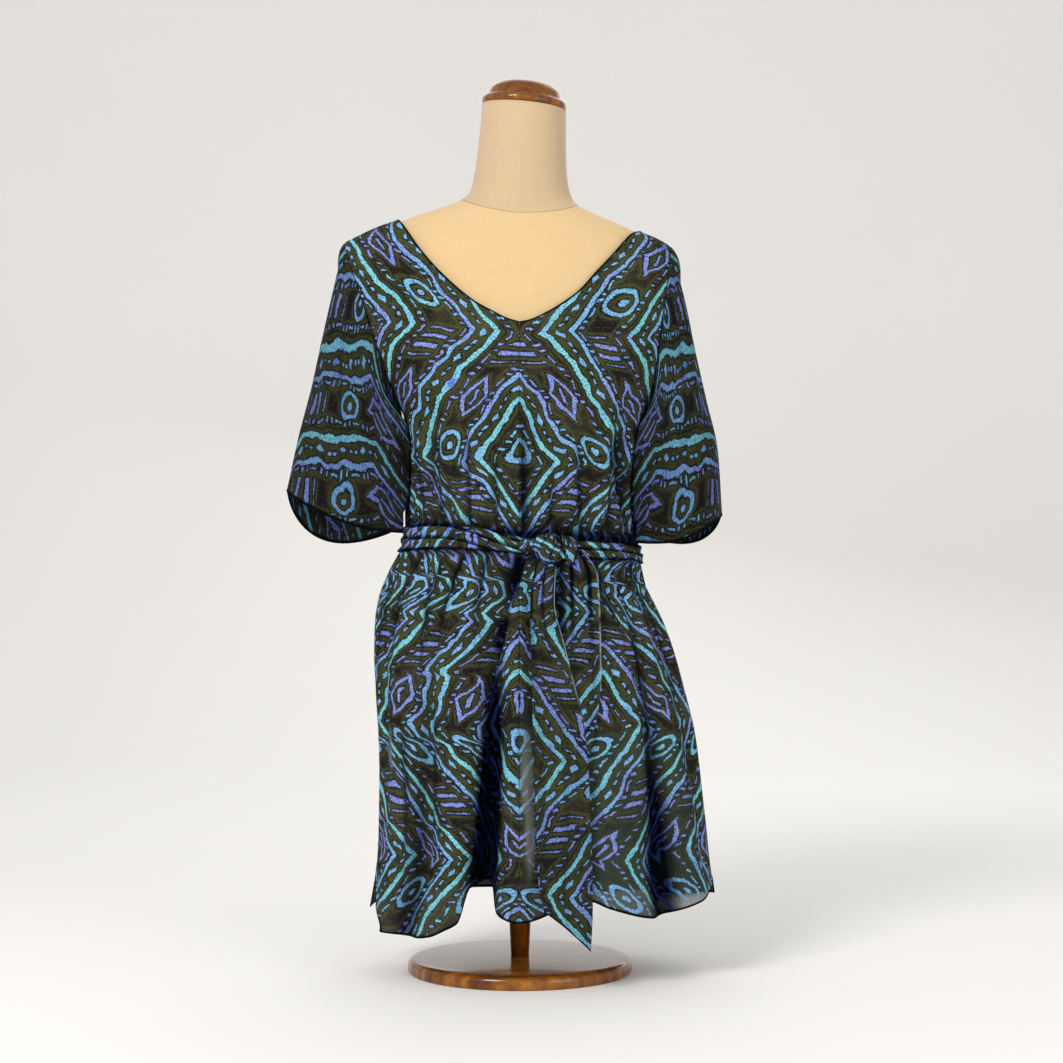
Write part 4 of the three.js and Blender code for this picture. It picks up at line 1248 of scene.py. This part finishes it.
# Middle height and half height of the band by the angle: it twists, and narrows where it enters the knot
SASH = table(
    "angle z half",
    (-180, 536, 15),
    (-120, 532, 15),
    (-90, 530.5, 15.5),
    (-48, 536.6, 15.8),
    (-25, 538.5, 14.6),
    (-8, 535, 12),
    (4, 531.5, 9),
    (14, 531, 9),
    (24, 530, 10.5),
    (34, 529, 12),
    (66, 530.5, 10),
    (84, 526, 11),
    (110, 530, 13),
    (180, 536, 15),
)
sash_at = sections(SASH, "angle")
BAND_STEPS, BAND_ROUND = 601, 73
angle = np.linspace(-180, 180, BAND_STEPS)[:, None]
turn_in = np.linspace(-np.pi / 2, 1.5 * np.pi, BAND_ROUND)
row = sash_at(angle)
side_of, front_of = np.sin(turn_in), np.cos(turn_in)
outer = np.clip(front_of, 0, 1) ** 0.5
a = np.radians(angle)
# Two folds lie over the band and run slantwise into the knot; each rises slowly and drops at its edge
across = side_of * 0.92 + 1.05 * np.sin(1.35 * a + 0.35) + 0.22 * np.sin(5 * a + 1)
pleat = (across * 1.15) % 1
pleat = np.where(pleat < 0.88, (pleat / 0.88) ** 1.4, (1 - pleat) / 0.12)
small = 0.45 * np.cos(side_of * 9 + 3 * np.sin(4 * a)) + 0.35 * np.cos(17 * a + 5 * side_of)
push = SOLID_WALL + 0.9 + 1.4 * (1 + front_of) / 2 + outer * (2.5 * pleat + small)
band = cloth_point(angle, row["z"] + row["half"] * side_of, push)
around_mm = np.concatenate([[0], np.cumsum(np.hypot(np.diff(side_of) * 15, np.diff(front_of) * 4))])
cut_place = np.stack(np.broadcast_arrays(angle * 1.9 + 40, around_mm * 1.1 + 338 + 16 * np.sin(1.35 * a)), -1)


def roll_values(shade):
    """Values of the sash's rolled pieces, which have no free edge: only the shade in their folds."""
    far = np.full(shade.size, FAR)
    return {"edge_mm": far, "facing_mm": far, "shade": shade.ravel(), "thin_and_backlit": far * 0}


under_pleats = np.clip((0.34 - pleat) / 0.34, 0, 1) * 0.95
at_edges = ease((np.abs(side_of) - 0.72) / 0.28) * 0.75
shade = under_pleats + at_edges + (front_of < 0) * 0.5
belt = make_piece(
    "sash_band_silk",
    band.reshape(-1, 3),
    grid_faces(BAND_STEPS, BAND_ROUND)[:, ::-1],
    sash_finish,
    cut_place.reshape(-1, 2) / 1000,
    roll_values(np.clip(shade, 0, 1)),
)
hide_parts("sash_band")
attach(belt, "root")

# The knot is four rolls of the sash. Each is a path of centres, its direction across, its half width and
# half thickness, and how many pleats run along it.
KNOT_ROLLS = (
    # The wrap that goes down over the front
    (
        [(34, -113, 543), (33, -121, 540), (33, -127.5, 533),
         (33, -129, 525), (34, -125.5, 516), (35, -118, 512)],
        (1, 0, 0.14),
        [9, 14, 16.5, 16, 12, 7],
        [3.4, 4.2, 4.6, 4.6, 4.2, 3.2],
        5,
    ),
    # The loop beside it, from which the short end comes
    (
        [(52, -113, 541), (56, -120, 540), (60, -125.5, 534),
         (62, -126.5, 526), (61, -123, 517), (60, -117, 513)],
        (1, 0, -0.25),
        [5, 7.5, 8.5, 8.5, 7.5, 5],
        [2.8, 3.6, 4.0, 3.8, 3.4, 2.6],
        3,
    ),
    # The band as it enters from the left, pinched together
    (
        [(1, -112, 531.5), (8, -115.5, 531), (15, -119, 530), (23, -121.5, 529), (30, -121, 528)],
        (0, 0, 1),
        [6, 8.5, 9, 9.5, 8],
        [2.4, 3.4, 4.2, 4.6, 4],
        6,
    ),
    # Its core, behind the others
    (
        [(20, -119, 528), (34, -120, 528), (50, -119.5, 527.5), (66, -115.5, 527)],
        (0, 0, 1),
        [9, 12, 12, 8],
        [5, 6, 6, 4],
        4,
    ),
)


def roll(centres, across, half_width, half_depth, pleats, count, around):
    """Roll of cloth: rings round a smooth path, each an ellipse with a wave of pleats on it, closed by
    shrinking to a point at both ends. Gives the points and the shade between its pleats and at its edges."""
    rows = np.c_[np.linspace(0, 1, len(centres)), np.array(centres, float), half_width, half_depth]
    at = sections(table("t x y z width depth", *rows), "t")
    t = np.concatenate([[0], np.linspace(0, 1, count - 2), [1]])
    row = at(t)
    line = np.stack([row["x"], row["y"], row["z"]], -1)
    along = np.gradient(line[1:-1], axis=0)
    along = np.concatenate([along[:1], along, along[-1:]])
    along /= np.linalg.norm(along, axis=1, keepdims=True)
    wide = np.array(across, float) - along * (along @ np.array(across, float))[:, None]
    wide /= np.linalg.norm(wide, axis=1, keepdims=True)
    out = np.cross(along, wide)
    p = np.linspace(0, 2 * np.pi, around)
    wave = np.cos(pleats * p + 2.2 * np.sin(2 * np.pi * t[:, None]) + pleats)
    swell = 1 + 0.11 * wave
    shrink = np.ones(count)
    shrink[[0, -1]] = 0
    w = (row["width"] * shrink)[:, None] * np.cos(p) * swell
    d = (row["depth"] * shrink)[:, None] * np.sin(p) * (1 + 0.2 * wave)
    dark = np.clip((-0.55 - wave) / 0.45, 0, 1) * 0.55 + ease((np.abs(np.cos(p)) - 0.78) / 0.22) * 0.75
    return line[:, None] + wide[:, None] * w[..., None] + out[:, None] * d[..., None], np.clip(dark, 0, 1)


KNOT_STEPS, KNOT_ROUND = 42, 73
points, faces, cuts, shades, start = [], [], [], [], 0
for k, (centres, across, half_width, half_depth, pleats) in enumerate(KNOT_ROLLS):
    grid, dark = roll(centres, across, half_width, half_depth, pleats, KNOT_STEPS, KNOT_ROUND)
    points.append(grid.reshape(-1, 3))
    faces.append(grid_faces(KNOT_STEPS, KNOT_ROUND) + start)
    start += KNOT_STEPS * KNOT_ROUND
    length = np.linspace(0, 42, KNOT_STEPS)[:, None] * 1.9 + 37 * k + 2
    girth = np.linspace(0, 95, KNOT_ROUND) + 53 * k
    cuts.append(np.stack(np.broadcast_arrays(length, girth), -1).reshape(-1, 2))
    shades.append(dark.ravel())
knot = make_piece(
    "sash_knot_silk",
    np.concatenate(points),
    np.concatenate(faces),
    sash_finish,
    np.concatenate(cuts) / 1000,
    roll_values(np.concatenate(shades)),
)
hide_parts("sash_knot")
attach(knot, "root")

# Middle and half sizes of the knot's outline, and the sash ends with both their edges by the height
KNOT_X, KNOT_Z, KNOT_HALF_X, KNOT_HALF_Z = 41, 529, 27, 17
ENDS = {
    "long": table(
        "z left right",
        (40, 40, 84),
        (100, 29, 87),
        (126, 23, 87),
        (214, 19, 84),
        (274, 17, 81.5),
        (325, 15.5, 75.5),
        (382, 14.5, 61.5),
        (417, 13.5, 53),
        (465, 13, 42),
        (515, 20, 44),
    ),
    "short": table(
        "z left right",
        (275, 56, 82),
        (309, 52, 89),
        (331, 50, 93.5),
        (373, 48, 98),
        (440, 47, 97),
        (500, 48, 94),
        (530, 50, 76),
    ),
}
END_WALL = 0.9  # thickness of a sash end, two layers of silk
# Each end has the heights of its slanted foot's two corners, how far it hangs before the skirt and how much
# further beside the knot, and where its pleats start
for name, foot, out, lift, share in (("long", (98, 50), 13, 0, 0.3), ("short", (296, 281), 8, 5, 0.7)):
    at = sections(ENDS[name], "z")
    t, u = np.linspace(0, 1, 160)[:, None], np.linspace(0, 1, 40)
    top = at(np.array([515.0]))
    top_x = top["left"] + (top["right"] - top["left"]) * u
    under = KNOT_Z - KNOT_HALF_Z * np.sqrt(1 - np.clip(np.abs(top_x - KNOT_X) / KNOT_HALF_X, 0, 1) ** 2) - 0.6
    bottom = foot[0] + (foot[1] - foot[0]) * u
    z = bottom + (under - bottom) * t
    edges = at(z)
    x = edges["left"] + (edges["right"] - edges["left"]) * u
    row = cloth_at(z)
    _, y, _, _ = on_section(angle_at(x, row["right"], row["square"]), row)
    wave = np.cos(2 * np.pi * (2.2 * u + share + 0.12 * np.sin(z / 60)))
    pleats = 2.0 * wave * (0.3 + 0.7 * ease((z - 360) / 130))
    sway = 1.5 * np.sin(3 * np.pi * u + 2) * ease((1 - t) * 2.2) + 1.2 * np.sin(z / 43 + 2 * u)
    points = stand(x, y - SOLID_WALL - out - 0.4 - lift * ease((z - 455) / 50) - pleats - sway, z)
    cut_place = np.stack([x * 1.1 + 95, z * 1.02 + (170 if name == "short" else 35)], -1)
    gap = np.minimum(t * 400, u * (edges["right"] - edges["left"]) * 3 + 2)
    shade = 0.2 + np.clip((-0.2 - wave) / 0.8, 0, 1) * (0.15 + 0.6 * ease((z - 380) / 120))
    if name == "short":
        shade = np.maximum(shade, ease((62 - x) / 12) * 0.85)
    end = shell(
        "sash_" + name + "_end_silk",
        [(points, cut_place, False)],
        END_WALL,
        sash_finish,
        values={
            "edge_mm": np.broadcast_to(gap, z.shape).ravel(),
            "facing_mm": np.full(z.size, FAR),
            "shade": shade.ravel(),
            "thin_and_backlit": np.zeros(z.size),
            "glint": (0.8 * ease((u - 0.96) / 0.03) * ease((z - 300) / 110) * np.ones(z.shape)).ravel(),
        },
    )
    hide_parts("sash_" + name + "_end")
    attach(end, "root")
